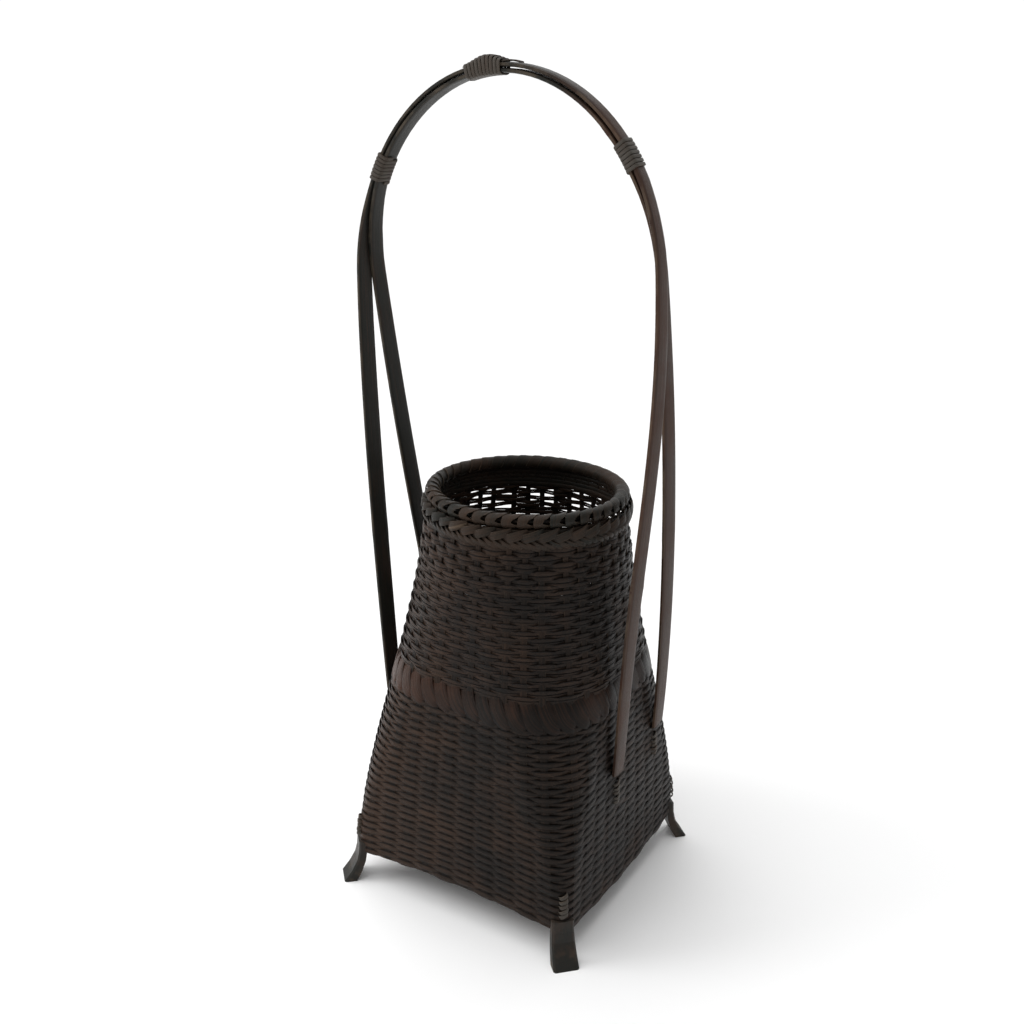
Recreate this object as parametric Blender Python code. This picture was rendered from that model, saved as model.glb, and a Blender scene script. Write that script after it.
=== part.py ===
"""Handled ikebana basket, dark lacquered bamboo, built as separate pieces.

A square bottom weaves up into a round mouth over forty upright stakes. Two bent
bamboo strips make the handle, and their legs and the four feet end in thin
tongues that are tucked through the weave and stitched fast.

Metres, +Z up. The handle spans X and the corner at +X -Y is the front one. The
handle leans to one side, so the pieces are built round the basket's own axis and
then moved together until the origin lies on the floor under the middle of the
whole.
"""
import math

import bmesh
import bpy
from mathutils import Vector

COLLECTION_NAME = "ikebana_basket"
CUTTER_COLLECTION_NAME = "cutters"

# Clearances
SEAT_GAP = 0.0003
CUT_OVERRUN = 0.004

# Body
FOOT_CLEARANCE = 0.021
BASE_HALF_SIDE = 0.083
BASE_CORNER_RADIUS = 0.009
MOUTH_RADIUS = 0.065
SIDE_BULGE = 0.003
LOWER_WALL_HEIGHT = 0.126
BAND_HEIGHT = 0.0167
UPPER_WALL_HEIGHT = 0.0917
PLAIT_ROW_HEIGHT = 0.0054
WALL_THICKNESS = 0.0028
BAND_PROUD = 0.0006
PLAIT_PROUD = 0.0018
BRAID_RELIEF = 0.0007
ROUNDING_POWER = 1.8
CELLS_PER_SIDE = 21
SIDES = 4

# Open rows under the rim, round the back
OPEN_ROWS = 4
OPEN_ROW_PITCH = 0.0047
OPEN_ROW_HEIGHT = 0.0024
OPEN_ROW_CLEARANCE = 0.0031

# Stakes and base
STAKE_THICKNESS = 0.0012
STAKE_RING_HEIGHT = 0.0032
BASE_PANEL_THICKNESS = 0.0022
SPLINT_WIDTH = 0.012
SPLINT_THICKNESS = 0.0016

# Rim
RIM_RADIUS = 0.0594
ROLL_RADIUS = 0.0042
ROLL_WALL = 0.0015
ROLL_RIDGE = 0.0006
ROLL_WRAPS = 40
ROLL_START_DEGREES = -70.0
ROLL_END_DEGREES = 215.0

# Feet
FOOT_HALF_WIDTH_BOTTOM = 0.0083
FOOT_HALF_WIDTH_TOP = 0.0071
FOOT_THICKNESS_BOTTOM = 0.0084
FOOT_FLARE = 0.0104
FOOT_SHOULDER_RISE = 0.0088
FOOT_SHOULDER_SLOPE = 0.0012
FOOT_EDGE_ROUNDING = 0.0012
FOOT_TONGUE_HALF_WIDTH = 0.0042
FOOT_TONGUE_THICKNESS = 0.0016
FOOT_TONGUE_LENGTH = 0.085

# Handle
ARCH_STRIP_WIDTH = 0.0094
LEG_STRIP_WIDTH = 0.0114
STRIP_THICKNESS = 0.0028
STRIP_CROWN = 0.0005
PAIR_GAP = 0.0004
HANDLE_HALF_SPAN = 0.0995
HANDLE_SPRING_HEIGHT = 0.4057
HANDLE_RISE = 0.1115
HANDLE_LEAN = 0.0265
ARCH_SIDE_SHIFT = -0.0044
LEG_BOW_POWER = 1.73
LEAN_POWER = 1.5
LEAN_START_HEIGHT = 0.102
LEG_TONGUE_WIDTH = 0.0052
LEG_TONGUE_THICKNESS = 0.0012
LEG_TONGUE_LENGTH = 0.026
SLOT_HEIGHT = 0.0055
SHOULDER_RISE_SHARE = 0.55
UNSTACK_SHARE = 0.25
LEG_SEGMENTS = 8
ARCH_SEGMENTS = 26

# Each leg's landing: side of the body, cell along that side, how far its middle
# lies from the cell's middle along Y, and the height of its lower end
LEG_LANDINGS = {
    ("outer", "left"): (1, 16, 0.0022, 0.127),
    ("inner", "left"): (1, 6, 0.0, 0.118),
    ("outer", "right"): (3, 8, -0.0026, 0.102),
    ("inner", "right"): (3, 16, 0.0022, 0.109),
}
LEG_NAMES = {
    ("outer", "left"): "front_left",
    ("inner", "left"): "back_left",
    ("outer", "right"): "front_right",
    ("inner", "right"): "back_right",
}

# Lashings
CANE_RADIUS = 0.0009
CANE_PITCH = 0.0024
CANE_CLEARANCE = 0.0004
TURN_POINTS = 24
TOP_TURNS = 10
SHOULDER_TURNS = 7
TOP_LASHING_SHIFT = 0.004
BOLSTER_HEIGHT = 0.0026
BOLSTER_END_HEIGHT = 0.0006
BOLSTER_EDGE = 0.0016
BOLSTER_PEAK_POWER = 1.8
LEAST_SELF_GAP = 0.0004

# Stitched ties
TIE_WIDTH = 0.0058
TIE_THICKNESS = 0.0022
TIE_ZIGZAG = 0.0005
TIE_WAIST_SHARE = 0.62
TIE_BUMPS = 4
LEG_TIE_LENGTH = 0.016
FOOT_TIE_LENGTH = 0.016
TIE_OFFSET = 0.0015

# Finish of each kind of piece: colour, roughness
WEAVE_FINISH = ((0.036, 0.029, 0.025, 1.0), 0.48)
BAND_FINISH = ((0.055, 0.036, 0.028, 1.0), 0.45)
STAKE_FINISH = ((0.028, 0.024, 0.021, 1.0), 0.55)
RIM_FINISH = ((0.038, 0.034, 0.030, 1.0), 0.42)
FOOT_FINISH = ((0.032, 0.034, 0.030, 1.0), 0.50)
STRIP_FINISH = ((0.040, 0.034, 0.030, 1.0), 0.40)
CANE_FINISH = ((0.085, 0.078, 0.068, 1.0), 0.45)

# Heights worked out from the sizes above
WALL_BOTTOM = FOOT_CLEARANCE
WALL_SPLIT = WALL_BOTTOM + LOWER_WALL_HEIGHT
BAND_TOP = WALL_SPLIT + SEAT_GAP + BAND_HEIGHT
MOUTH_LEVEL = BAND_TOP + SEAT_GAP + UPPER_WALL_HEIGHT
PLAIT_SPLIT = MOUTH_LEVEL + SEAT_GAP + PLAIT_ROW_HEIGHT
PLAIT_TOP = PLAIT_SPLIT + SEAT_GAP + PLAIT_ROW_HEIGHT
ROLL_HEIGHT = PLAIT_TOP + ROLL_RADIUS
STAKE_TOP = ROLL_HEIGHT - ROLL_RADIUS - SEAT_GAP
NOTCH_TOP = WALL_BOTTOM + FOOT_SHOULDER_RISE + SEAT_GAP
STAKE_INSET = WALL_THICKNESS + SEAT_GAP
PANEL_INSET = STAKE_INSET + STAKE_THICKNESS + SEAT_GAP
LOWER_LEVEL_SHARES = (0.0, 0.25, 0.5, 0.75, 1.0)
COLUMNS = SIDES * CELLS_PER_SIDE
DIAGONAL = math.sqrt(0.5)


def clear_scene():
    for item in list(bpy.data.objects):
        bpy.data.objects.remove(item, do_unlink=True)


def new_collection(name):
    group = bpy.data.collections.new(name)
    bpy.context.scene.collection.children.link(group)
    return group


def finish_material(name, finish):
    """A plain Principled material with the piece's colour and roughness."""
    colour, roughness = finish
    material = bpy.data.materials.new(name)
    material.use_nodes = True
    shader = material.node_tree.nodes["Principled BSDF"]
    shader.inputs["Base Color"].default_value = colour
    shader.inputs["Roughness"].default_value = roughness
    shader.inputs["Metallic"].default_value = 0.0
    material.diffuse_color = colour
    return material


def add_mesh_object(name, bm, finish, group, smooth_degrees=40.0):
    """Turn a bmesh into a named object with its own material."""
    bmesh.ops.recalc_face_normals(bm, faces=bm.faces)
    mesh = bpy.data.meshes.new(name)
    bm.to_mesh(mesh)
    bm.free()
    mesh.shade_smooth()
    mesh.set_sharp_from_angle(angle=math.radians(smooth_degrees))
    mesh.materials.append(finish_material(name + "_finish", finish))
    item = bpy.data.objects.new(name, mesh)
    group.objects.link(item)
    return item


def split_facets(bm):
    """Cut each upright facet along the same diagonal, so nested skins stay parallel."""
    for face in list(bm.faces):
        verts = sorted(face.verts, key=lambda vert: vert.co.z)
        if len(verts) != 4 or verts[2].co.z - verts[1].co.z < SEAT_GAP:
            continue
        low, high = verts[:2], verts[2:]
        if low[0].co.xy.to_3d().cross(low[1].co.xy.to_3d()).z < 0:
            low.reverse()
        if high[0].co.xy.to_3d().cross(high[1].co.xy.to_3d()).z < 0:
            high.reverse()
        if not any({low[0], high[1]} == set(edge.verts) for edge in face.edges):
            bmesh.utils.face_split(face, low[0], high[1])


def skin(rings, looped=False):
    """Loft a skin over rings with equal counts of points, capped unless looped."""
    bm = bmesh.new()
    loops = [[bm.verts.new(point) for point in ring] for ring in rings]
    count = len(rings[0])
    pairs = list(zip(loops, loops[1:]))
    if looped:
        pairs.append((loops[-1], loops[0]))
    for low, high in pairs:
        for i in range(count):
            j = (i + 1) % count
            bm.faces.new((low[i], low[j], high[j], high[i]))
    if not looped:
        bm.faces.new(list(reversed(loops[0])))
        bm.faces.new(loops[-1])
    return bm


# Shape of the body

def body_section(height):
    """Half side and corner radius of the rounded square at a height."""
    t = (height - WALL_BOTTOM) / (MOUTH_LEVEL - WALL_BOTTOM)
    t = min(max(t, 0.0), 1.0)
    half = BASE_HALF_SIDE * (1 - t) + MOUTH_RADIUS * t + SIDE_BULGE * 4 * t * (1 - t)
    roundness = math.sin(math.pi * t / 2) ** ROUNDING_POWER
    corner = BASE_CORNER_RADIUS * (1 - roundness) + half * roundness
    return half, corner


def side_point(distance, half, corner):
    """Point on the +Y side, at a distance from its corner at +X +Y."""
    arc = math.pi * corner / 4
    straight = 2 * (half - corner)
    if distance < arc:
        angle = math.pi / 4 + distance / corner
        return Vector((half - corner + corner * math.cos(angle),
                       half - corner + corner * math.sin(angle)))
    if distance < arc + straight:
        return Vector((half - corner - (distance - arc), half))
    angle = math.pi / 2 + (distance - arc - straight) / corner
    return Vector((corner - half + corner * math.cos(angle),
                   half - corner + corner * math.sin(angle)))


def quarter_turn(point, turns):
    for _ in range(turns):
        point = Vector((-point.y, point.x))
    return point


def level_outline(height):
    """The body's outer polygon at a level, from the corner at +X +Y, anticlockwise."""
    half, corner = body_section(height)
    side_length = math.pi * corner / 2 + 2 * (half - corner)
    step = side_length / CELLS_PER_SIDE
    side = [side_point(k * step, half, corner) for k in range(CELLS_PER_SIDE)]
    return [quarter_turn(point, turns) for turns in range(SIDES) for point in side]


def outline(height):
    """The outer polygon at any height, straight between the nearest levels."""
    levels = lower_levels() + upper_levels()
    if height <= levels[0] or height >= levels[-1]:
        return level_outline(height)
    low, high = next(pair for pair in zip(levels, levels[1:]) if pair[0] <= height <= pair[1])
    t = (height - low) / (high - low)
    pairs = zip(level_outline(low), level_outline(high))
    return [a.lerp(b, t) for a, b in pairs]


def inset_outline(points, inset):
    """The polygon moved inwards, each facet parallel to its first place."""
    moved = []
    count = len(points)
    for i, point in enumerate(points):
        before = (point - points[i - 1]).normalized()
        after = (points[(i + 1) % count] - point).normalized()
        normal_a = Vector((before.y, -before.x))
        normal_b = Vector((after.y, -after.x))
        mitre = (normal_a + normal_b) / (1 + normal_a.dot(normal_b))
        moved.append(point - mitre * inset)
    return moved


def chamfer_corners(points):
    """Move each corner point onto the line between its neighbours."""
    cut = list(points)
    for side in range(SIDES):
        k = side * CELLS_PER_SIDE
        cut[k] = (points[k - 1] + points[k + 1]) / 2
    return cut


def ring_at(height, inset=0.0, chamfered=False):
    points = inset_outline(outline(height), inset)
    if chamfered:
        points = chamfer_corners(points)
    return [Vector((point.x, point.y, height)) for point in points]


def diagonal_reach(height, inset, across):
    """How far out along a corner's diagonal a strip of that half width fits."""
    points = inset_outline(outline(height), inset)
    side = [points[k] for k in range(CELLS_PER_SIDE // 2)]
    for near, far in zip(side, side[1:]):
        near_across = (near.y - near.x) * DIAGONAL
        far_across = (far.y - far.x) * DIAGONAL
        if near_across <= across <= far_across:
            t = (across - near_across) / (far_across - near_across)
            point = near.lerp(far, t)
            return (point.x + point.y) * DIAGONAL
    return (side[-1].x + side[-1].y) * DIAGONAL


def chamfer_reach(height, inset):
    """Distance of the chamfered corner from the axis, along the diagonal."""
    point = chamfer_corners(inset_outline(outline(height), inset))[0]
    return (point.x + point.y) * DIAGONAL


def cell_frame(side, cell, height):
    """Middle, tangent and outward normal of one facet of the outer polygon."""
    points = outline(height)
    k = side * CELLS_PER_SIDE + cell
    start = points[k]
    end = points[(k + 1) % COLUMNS]
    tangent = (end - start).normalized()
    middle = (start + end) / 2
    return (Vector((middle.x, middle.y, height)), Vector((tangent.x, tangent.y, 0)),
            Vector((tangent.y, -tangent.x, 0)))


def levels_between(low, high, shares):
    return [low + (high - low) * share for share in shares]


def lower_levels():
    return [WALL_BOTTOM] + levels_between(NOTCH_TOP, WALL_SPLIT, LOWER_LEVEL_SHARES)


def upper_levels():
    return levels_between(BAND_TOP + SEAT_GAP, MOUTH_LEVEL, (0.0, 0.5, 1.0))


# Walls

def make_wall(name, heights, finish, group, open_rows=()):
    """A tube between two heights, one wall thick, with openings in its open rows."""
    edges = {edge for row in open_rows for edge in row}
    heights = sorted(edges.union(heights))
    outer = [ring_at(height) for height in heights]
    inner = [ring_at(height, WALL_THICKNESS) for height in reversed(heights)]
    bm = skin(outer + inner, looped=True)
    for low, high in open_rows:
        for cell in open_cells():
            cut_opening(bm, heights.index(low), len(heights), cell)
    split_facets(bm)
    return add_mesh_object(name, bm, finish, group)


def open_rows():
    """Lower and upper edge of each row of openings, counted down from the wall's top."""
    rows = []
    for row in range(OPEN_ROWS):
        low = MOUTH_LEVEL - OPEN_ROW_CLEARANCE - OPEN_ROW_HEIGHT - row * OPEN_ROW_PITCH
        rows.append((low, low + OPEN_ROW_HEIGHT))
    return rows


def open_cells():
    """Cells of the back side that lie between the stakes."""
    return range(0, CELLS_PER_SIDE, 2)


def cut_opening(bm, level, levels, cell):
    """Open one cell of a wall between a level and the next, and line its edges."""
    bm.verts.ensure_lookup_table()
    bm.faces.ensure_lookup_table()
    inner_level = 2 * levels - 1 - level
    corners = ((0, cell), (0, cell + 1), (1, cell + 1), (1, cell))
    outer = [bm.verts[(level + up) * COLUMNS + column] for up, column in corners]
    inner = [bm.verts[(inner_level - up) * COLUMNS + column] for up, column in corners]
    for ring in (outer, inner):
        bm.faces.remove(next(face for face in ring[0].link_faces if set(face.verts) == set(ring)))
    for i in range(4):
        j = (i + 1) % 4
        bm.faces.new((outer[i], outer[j], inner[j], inner[i]))


def make_braided_ring(name, low, high, proud, slants, finish, group):
    """A ring whose outer face has slanting strips in relief."""
    rows = len(slants)
    heights = levels_between(low, high, [row / rows for row in range(rows + 1)])
    outer = []
    phase = 0
    for row, height in enumerate(heights):
        edge = row in (0, rows)
        flat = inset_outline(outline(height), -proud)
        lifted = inset_outline(outline(height), -proud - BRAID_RELIEF)
        if row:
            phase += slants[row - 1]
        ring = []
        for k in range(COLUMNS):
            raised = (k + phase) % 2 == 0 and not edge
            point = lifted[k] if raised else flat[k]
            ring.append(Vector((point.x, point.y, height)))
        outer.append(ring)
    inner = [ring_at(high, WALL_THICKNESS), ring_at(low, WALL_THICKNESS)]
    return add_mesh_object(name, skin(outer + inner, looped=True), finish, group)


# Stakes and base

def make_stakes(group):
    """Forty upright stakes that rise from one ring at the bottom."""
    low = WALL_BOTTOM + SEAT_GAP
    ring_top = low + STAKE_RING_HEIGHT
    inner_inset = STAKE_INSET + STAKE_THICKNESS

    def faces_of(height, chamfered):
        return (ring_at(height, STAKE_INSET, chamfered),
                ring_at(height, inner_inset, chamfered))

    outer_low, inner_low = faces_of(low, True)
    outer_top, inner_top = faces_of(ring_top, True)
    bm = skin([outer_low, outer_top, inner_top, inner_low], looped=True)
    bm.faces.ensure_lookup_table()
    bm.verts.ensure_lookup_table()
    place = bm.verts.layers.int.new("place")
    for i, vert in enumerate(bm.verts):
        vert[place] = i
    heights = lower_levels()[1:] + upper_levels() + [STAKE_TOP]
    for cell in stake_cells():
        extrude_stake(bm, place, cell, heights, faces_of)
    split_facets(bm)
    return add_mesh_object("upright_stakes", bm, STAKE_FINISH, group)


def stake_cells():
    """Cells that hold a stake: every second one, none beside a corner."""
    return [side * CELLS_PER_SIDE + cell
            for side in range(SIDES) for cell in range(1, CELLS_PER_SIDE, 2)]


def extrude_stake(bm, place, cell, heights, faces_of):
    """Pull one facet of the ring's top up through the levels."""
    top_start = COLUMNS
    inner_start = 2 * COLUMNS
    wanted = {top_start + cell, top_start + (cell + 1) % COLUMNS,
              inner_start + cell, inner_start + (cell + 1) % COLUMNS}
    face = next(f for f in bm.faces if {v[place] for v in f.verts} == wanted
                and all(v[place] >= top_start for v in f.verts))
    for height in heights:
        grown = bmesh.ops.extrude_discrete_faces(bm, faces=[face])
        face = grown["faces"][0]
        outer, inner = faces_of(height, False)
        for vert in face.verts:
            index = vert[place]
            ring, start = (outer, top_start) if index < inner_start else (inner, inner_start)
            vert.co = ring[index - start]


def make_base_panel(group):
    low = WALL_BOTTOM + SEAT_GAP
    rings = [ring_at(low, PANEL_INSET, True),
             ring_at(low + BASE_PANEL_THICKNESS, PANEL_INSET, True)]
    return add_mesh_object("base_panel", skin(rings), WEAVE_FINISH, group)


def make_splint(name, along_x, height, length, group):
    """A flat bamboo slat across the base, its ends rounded over."""
    bm = bmesh.new()
    bmesh.ops.create_cube(bm, size=1.0)
    size = Vector((length, SPLINT_WIDTH, SPLINT_THICKNESS))
    if not along_x:
        size = Vector((SPLINT_WIDTH, length, SPLINT_THICKNESS))
    bmesh.ops.scale(bm, vec=size, verts=bm.verts)
    bmesh.ops.translate(bm, vec=Vector((0, 0, height)), verts=bm.verts)
    upright = [edge for edge in bm.edges
               if abs(edge.verts[0].co.x - edge.verts[1].co.x) < SEAT_GAP
               and abs(edge.verts[0].co.y - edge.verts[1].co.y) < SEAT_GAP]
    bmesh.ops.bevel(bm, geom=upright, offset=SPLINT_WIDTH / 4, segments=2,
                    profile=0.5, affect="EDGES")
    return add_mesh_object(name, bm, STAKE_FINISH, group)


# Rim

def rim_ring_point(turn, radius, degrees):
    """Point on the rim's tube, from the turn round the mouth and round the tube."""
    angle = math.radians(degrees)
    reach = RIM_RADIUS + radius * math.cos(angle)
    return Vector((reach * math.cos(turn), reach * math.sin(turn),
                   ROLL_HEIGHT + radius * math.sin(angle)))


def make_rim_roll(group):
    """The rolled rim: stake ends curled over the core, open underneath."""
    columns = 2 * ROLL_WRAPS
    outer_points = 7
    inner_points = 4
    spread = ROLL_END_DEGREES - ROLL_START_DEGREES
    inner_radius = ROLL_RADIUS - ROLL_WALL
    rings = []
    for p in range(outer_points):
        degrees = ROLL_START_DEGREES + spread * p / (outer_points - 1)
        edge = p in (0, outer_points - 1)
        ring = []
        for k in range(columns):
            low = (k + p) % 2 == 0 and not edge
            radius = ROLL_RADIUS - (ROLL_RIDGE if low else 0)
            ring.append(rim_ring_point(2 * math.pi * k / columns, radius, degrees))
        rings.append(ring)
    for p in range(inner_points):
        degrees = ROLL_END_DEGREES - spread * p / (inner_points - 1)
        rings.append([rim_ring_point(2 * math.pi * k / columns, inner_radius, degrees)
                      for k in range(columns)])
    return add_mesh_object("rim_roll", skin(rings, looped=True), RIM_FINISH, group)


def make_rim_core(group):
    """The hoop that the stake ends curl over."""
    columns = ROLL_WRAPS
    sides = 6
    inner_chord_share = math.cos(math.radians(ROLL_END_DEGREES - ROLL_START_DEGREES) / 6)
    radius = (ROLL_RADIUS - ROLL_WALL) * inner_chord_share - SEAT_GAP
    rings = [[rim_ring_point(2 * math.pi * k / columns, radius, 360.0 * p / sides)
              for k in range(columns)] for p in range(sides)]
    return add_mesh_object("rim_core", skin(rings, looped=True), STAKE_FINISH, group)


# Feet

def foot_section(inner, outer, half_width, height, rounding):
    """Six points of a foot's section: distance out along the diagonal, across."""
    edge = min(rounding, (outer - inner) / 3)
    return [(inner, -half_width, height), (outer - edge, -half_width, height),
            (outer, -half_width + edge, height), (outer, half_width - edge, height),
            (outer - edge, half_width, height), (inner, half_width, height)]


def foot_sections():
    """A foot from the floor to the tip of its tongue, along one diagonal."""
    shoulder = WALL_BOTTOM + FOOT_SHOULDER_RISE
    rounding = FOOT_EDGE_ROUNDING
    corner_out = diagonal_reach(WALL_BOTTOM, 0.0, 0.0)
    inner_face = chamfer_reach(WALL_BOTTOM, STAKE_INSET) + SEAT_GAP
    floor_out = corner_out + FOOT_FLARE
    floor_in = floor_out - FOOT_THICKNESS_BOTTOM
    sections = [foot_section(floor_in, floor_out, FOOT_HALF_WIDTH_BOTTOM, 0.0, rounding)]
    for share, pull in ((0.35, 0.50), (0.70, 0.86)):
        outer = floor_out + (corner_out - floor_out) * pull
        inner = floor_in + (inner_face - floor_in) * pull
        width = FOOT_HALF_WIDTH_BOTTOM + (FOOT_HALF_WIDTH_TOP - FOOT_HALF_WIDTH_BOTTOM) * share
        sections.append(foot_section(inner, outer, width, WALL_BOTTOM * share, rounding))
    sections.append(foot_section(inner_face, corner_out, FOOT_HALF_WIDTH_TOP,
                                 WALL_BOTTOM, rounding))
    top_out = diagonal_reach(shoulder, 0.0, 0.0)
    sections.append(foot_section(inner_face, top_out, FOOT_HALF_WIDTH_TOP,
                                 shoulder - FOOT_SHOULDER_SLOPE, rounding))
    sections += foot_tongue_sections(shoulder, inner_face)
    return sections


def foot_tongue_sections(shoulder, inner_face):
    """The thin tongue that runs up inside the corner, between two stakes."""
    sections = []
    half_width = FOOT_TONGUE_HALF_WIDTH
    top = shoulder + FOOT_TONGUE_LENGTH
    heights = [shoulder] + [z for z in lower_levels() if shoulder < z < top] + [top]
    for k, height in enumerate(heights):
        outer = diagonal_reach(height, STAKE_INSET, half_width)
        inner = outer - FOOT_TONGUE_THICKNESS
        if k == 0:
            inner = max(inner, inner_face)
        if height == top:
            half_width = half_width / 2
        sections.append(foot_section(inner, outer, half_width, height,
                                     FOOT_TONGUE_THICKNESS / 3))
    return sections


CORNERS = {"front": (1, -1), "right": (1, 1), "back": (-1, 1), "left": (-1, -1)}


def at_corner(corner, out, across, height):
    """World point from a distance out along a corner's diagonal and across it."""
    x_sign, y_sign = CORNERS[corner]
    return Vector(((x_sign * out - y_sign * across) * DIAGONAL,
                   (y_sign * out + x_sign * across) * DIAGONAL, height))


def make_foot(corner, group):
    rings = [[at_corner(corner, *point) for point in section] for section in foot_sections()]
    return add_mesh_object("foot_" + corner, skin(rings), FOOT_FINISH, group)


# Handle

class Path:
    """A smooth run of points with a frame at each: tangent, outward, across."""

    def __init__(self, points):
        self.points = points
        self.lengths = [0.0]
        for a, b in zip(points, points[1:]):
            self.lengths.append(self.lengths[-1] + (b - a).length)

    def tangent(self, i):
        before = self.points[max(i - 1, 0)]
        after = self.points[min(i + 1, len(self.points) - 1)]
        return (after - before).normalized()

    def frame(self, i):
        tangent = self.tangent(i)
        across = Vector((0, 1, 0))
        across = (across - tangent * across.dot(tangent)).normalized()
        outward = tangent.cross(across)
        return tangent, outward, across

    def at(self, distance):
        """Point and frame at a distance along the path."""
        for i in range(len(self.points) - 1):
            if distance <= self.lengths[i + 1] or i == len(self.points) - 2:
                span = self.lengths[i + 1] - self.lengths[i]
                t = (distance - self.lengths[i]) / span
                point = self.points[i].lerp(self.points[i + 1], t)
                frames = zip(self.frame(i), self.frame(i + 1))
                return point, [a.lerp(b, t).normalized() for a, b in frames]
        return None


def handle_top():
    return HANDLE_SPRING_HEIGHT + HANDLE_RISE


def lean_point(point):
    """The handle stands a little over to one side, more so the higher it is."""
    rise = handle_top() - LEAN_START_HEIGHT
    t = max((point.z - LEAN_START_HEIGHT) / rise, 0.0)
    return Vector((point.x - HANDLE_LEAN * t ** LEAN_POWER, point.y,
                   point.z + point.x * HANDLE_LEAN / rise * LEAN_POWER * t))


def leg_start(strip, side_name):
    """Middle of a leg's lower end, lying on the outside of the wall."""
    side, cell, shift, height = LEG_LANDINGS[(strip, side_name)]
    middle, _, normal = cell_frame(side, cell, height)
    return middle + normal * (SEAT_GAP + STRIP_THICKNESS / 2) + Vector((0, shift, 0))


def part_share(height, end_height):
    """How far down a leg is, from 0 where the strips part to 1 at the leg's end."""
    shoulder = HANDLE_SPRING_HEIGHT + HANDLE_RISE * SHOULDER_RISE_SHARE
    top = shoulder - SHOULDER_TURNS * CANE_PITCH / 2
    return max((top - height) / (top - end_height), 0.0)


def stack_offset(strip, share):
    """A strip's distance from the line midway through the stacked pair."""
    reach = (STRIP_THICKNESS + PAIR_GAP) / 2
    kept = min((1 - share) / (1 - UNSTACK_SHARE), 1.0)
    return reach * kept if strip == "outer" else -reach * kept


def handle_outline_point(strip, side_name, height):
    """Point on a leg, before the lean."""
    start = leg_start(strip, side_name)
    sign = -1 if side_name == "left" else 1
    t = (HANDLE_SPRING_HEIGHT - height) / (HANDLE_SPRING_HEIGHT - start.z)
    reach = HANDLE_HALF_SPAN - (HANDLE_HALF_SPAN - abs(start.x)) * t ** LEG_BOW_POWER
    share = part_share(height, start.z)
    reach += stack_offset(strip, share)
    across = ARCH_SIDE_SHIFT * (1 - share) + start.y * share
    return Vector((sign * reach, across, height))


def strip_width(height):
    """Strips are narrowed on the arch, where they are bound together."""
    share = part_share(height, LEAN_START_HEIGHT)
    return ARCH_STRIP_WIDTH + (LEG_STRIP_WIDTH - ARCH_STRIP_WIDTH) * share


def arch_point(strip, angle):
    """Point on the arch above the springing, before the lean."""
    height = HANDLE_SPRING_HEIGHT + HANDLE_RISE * math.sin(angle)
    point = Vector((-HANDLE_HALF_SPAN * math.cos(angle), ARCH_SIDE_SHIFT, height))
    if strip is None:
        return point
    start = leg_start(strip, "left" if math.cos(angle) > 0 else "right")
    share = part_share(height, start.z)
    point.y = ARCH_SIDE_SHIFT * (1 - share) + start.y * share
    along = Vector((HANDLE_HALF_SPAN * math.sin(angle), 0, HANDLE_RISE * math.cos(angle)))
    outward = Vector((-along.z, 0, along.x)).normalized()
    return point + outward * stack_offset(strip, share)


def leg_points(strip, side_name):
    """Points up a leg, from its lower end to just under the springing."""
    shares = [k / LEG_SEGMENTS for k in range(LEG_SEGMENTS)]
    low = leg_start(strip, side_name).z
    return [handle_outline_point(strip, side_name, height)
            for height in levels_between(low, HANDLE_SPRING_HEIGHT, shares)]


def strip_path(strip):
    """The whole run of one strip, from its left leg's end to its right leg's."""
    left, right = [leg_points(strip, side_name) for side_name in ("left", "right")]
    arch = [arch_point(strip, math.pi * k / ARCH_SEGMENTS) for k in range(ARCH_SEGMENTS + 1)]
    return Path([lean_point(point) for point in left + arch + list(reversed(right))])


def strip_section(width):
    """Flat inside, crowned outside like split bamboo: across, outward."""
    half = width / 2
    deep = STRIP_THICKNESS / 2
    section = [(-half, -deep), (half, -deep)]
    for share in (1.0, 0.5, 0.0, -0.5, -1.0):
        section.append((half * share, deep - STRIP_CROWN * share * share))
    return section


def tongue_section(width):
    """The same count of points as the strip's section, as a thin flat tongue."""
    half = width / 2
    section = [(-half, 0.0), (half, 0.0)]
    for share in (1.0, 0.5, 0.0, -0.5, -1.0):
        section.append((half * share, LEG_TONGUE_THICKNESS))
    return section


def tongue_rings(strip, side_name):
    """Rings from a leg's end in through the slot and down behind the wall."""
    side, cell, _, end_height = LEG_LANDINGS[(strip, side_name)]
    inside = -(WALL_THICKNESS + SEAT_GAP + LEG_TONGUE_THICKNESS)
    stations = (
        (end_height - SEAT_GAP, SEAT_GAP, LEG_TONGUE_WIDTH),
        (end_height - SLOT_HEIGHT, inside, LEG_TONGUE_WIDTH),
        (end_height - LEG_TONGUE_LENGTH, inside, LEG_TONGUE_WIDTH / 2),
    )
    turned = 1 if side_name == "left" else -1
    rings = []
    for height, depth, width in stations:
        middle, tangent, normal = cell_frame(side, cell, height)
        rings.append([middle - tangent * across * turned + normal * (depth + out)
                      for across, out in tongue_section(width)])
    return rings


def make_handle_strip(strip, group):
    path = strip_path(strip)
    rings = []
    for i, point in enumerate(path.points):
        _, outward, across = path.frame(i)
        section = strip_section(strip_width(point.z))
        rings.append([point + across * b + outward * n for b, n in section])
    left = list(reversed(tongue_rings(strip, "left")))
    right = tongue_rings(strip, "right")
    bm = skin(left + rings + right)
    return add_mesh_object("handle_strip_" + strip, bm, STRIP_FINISH, group)


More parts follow.
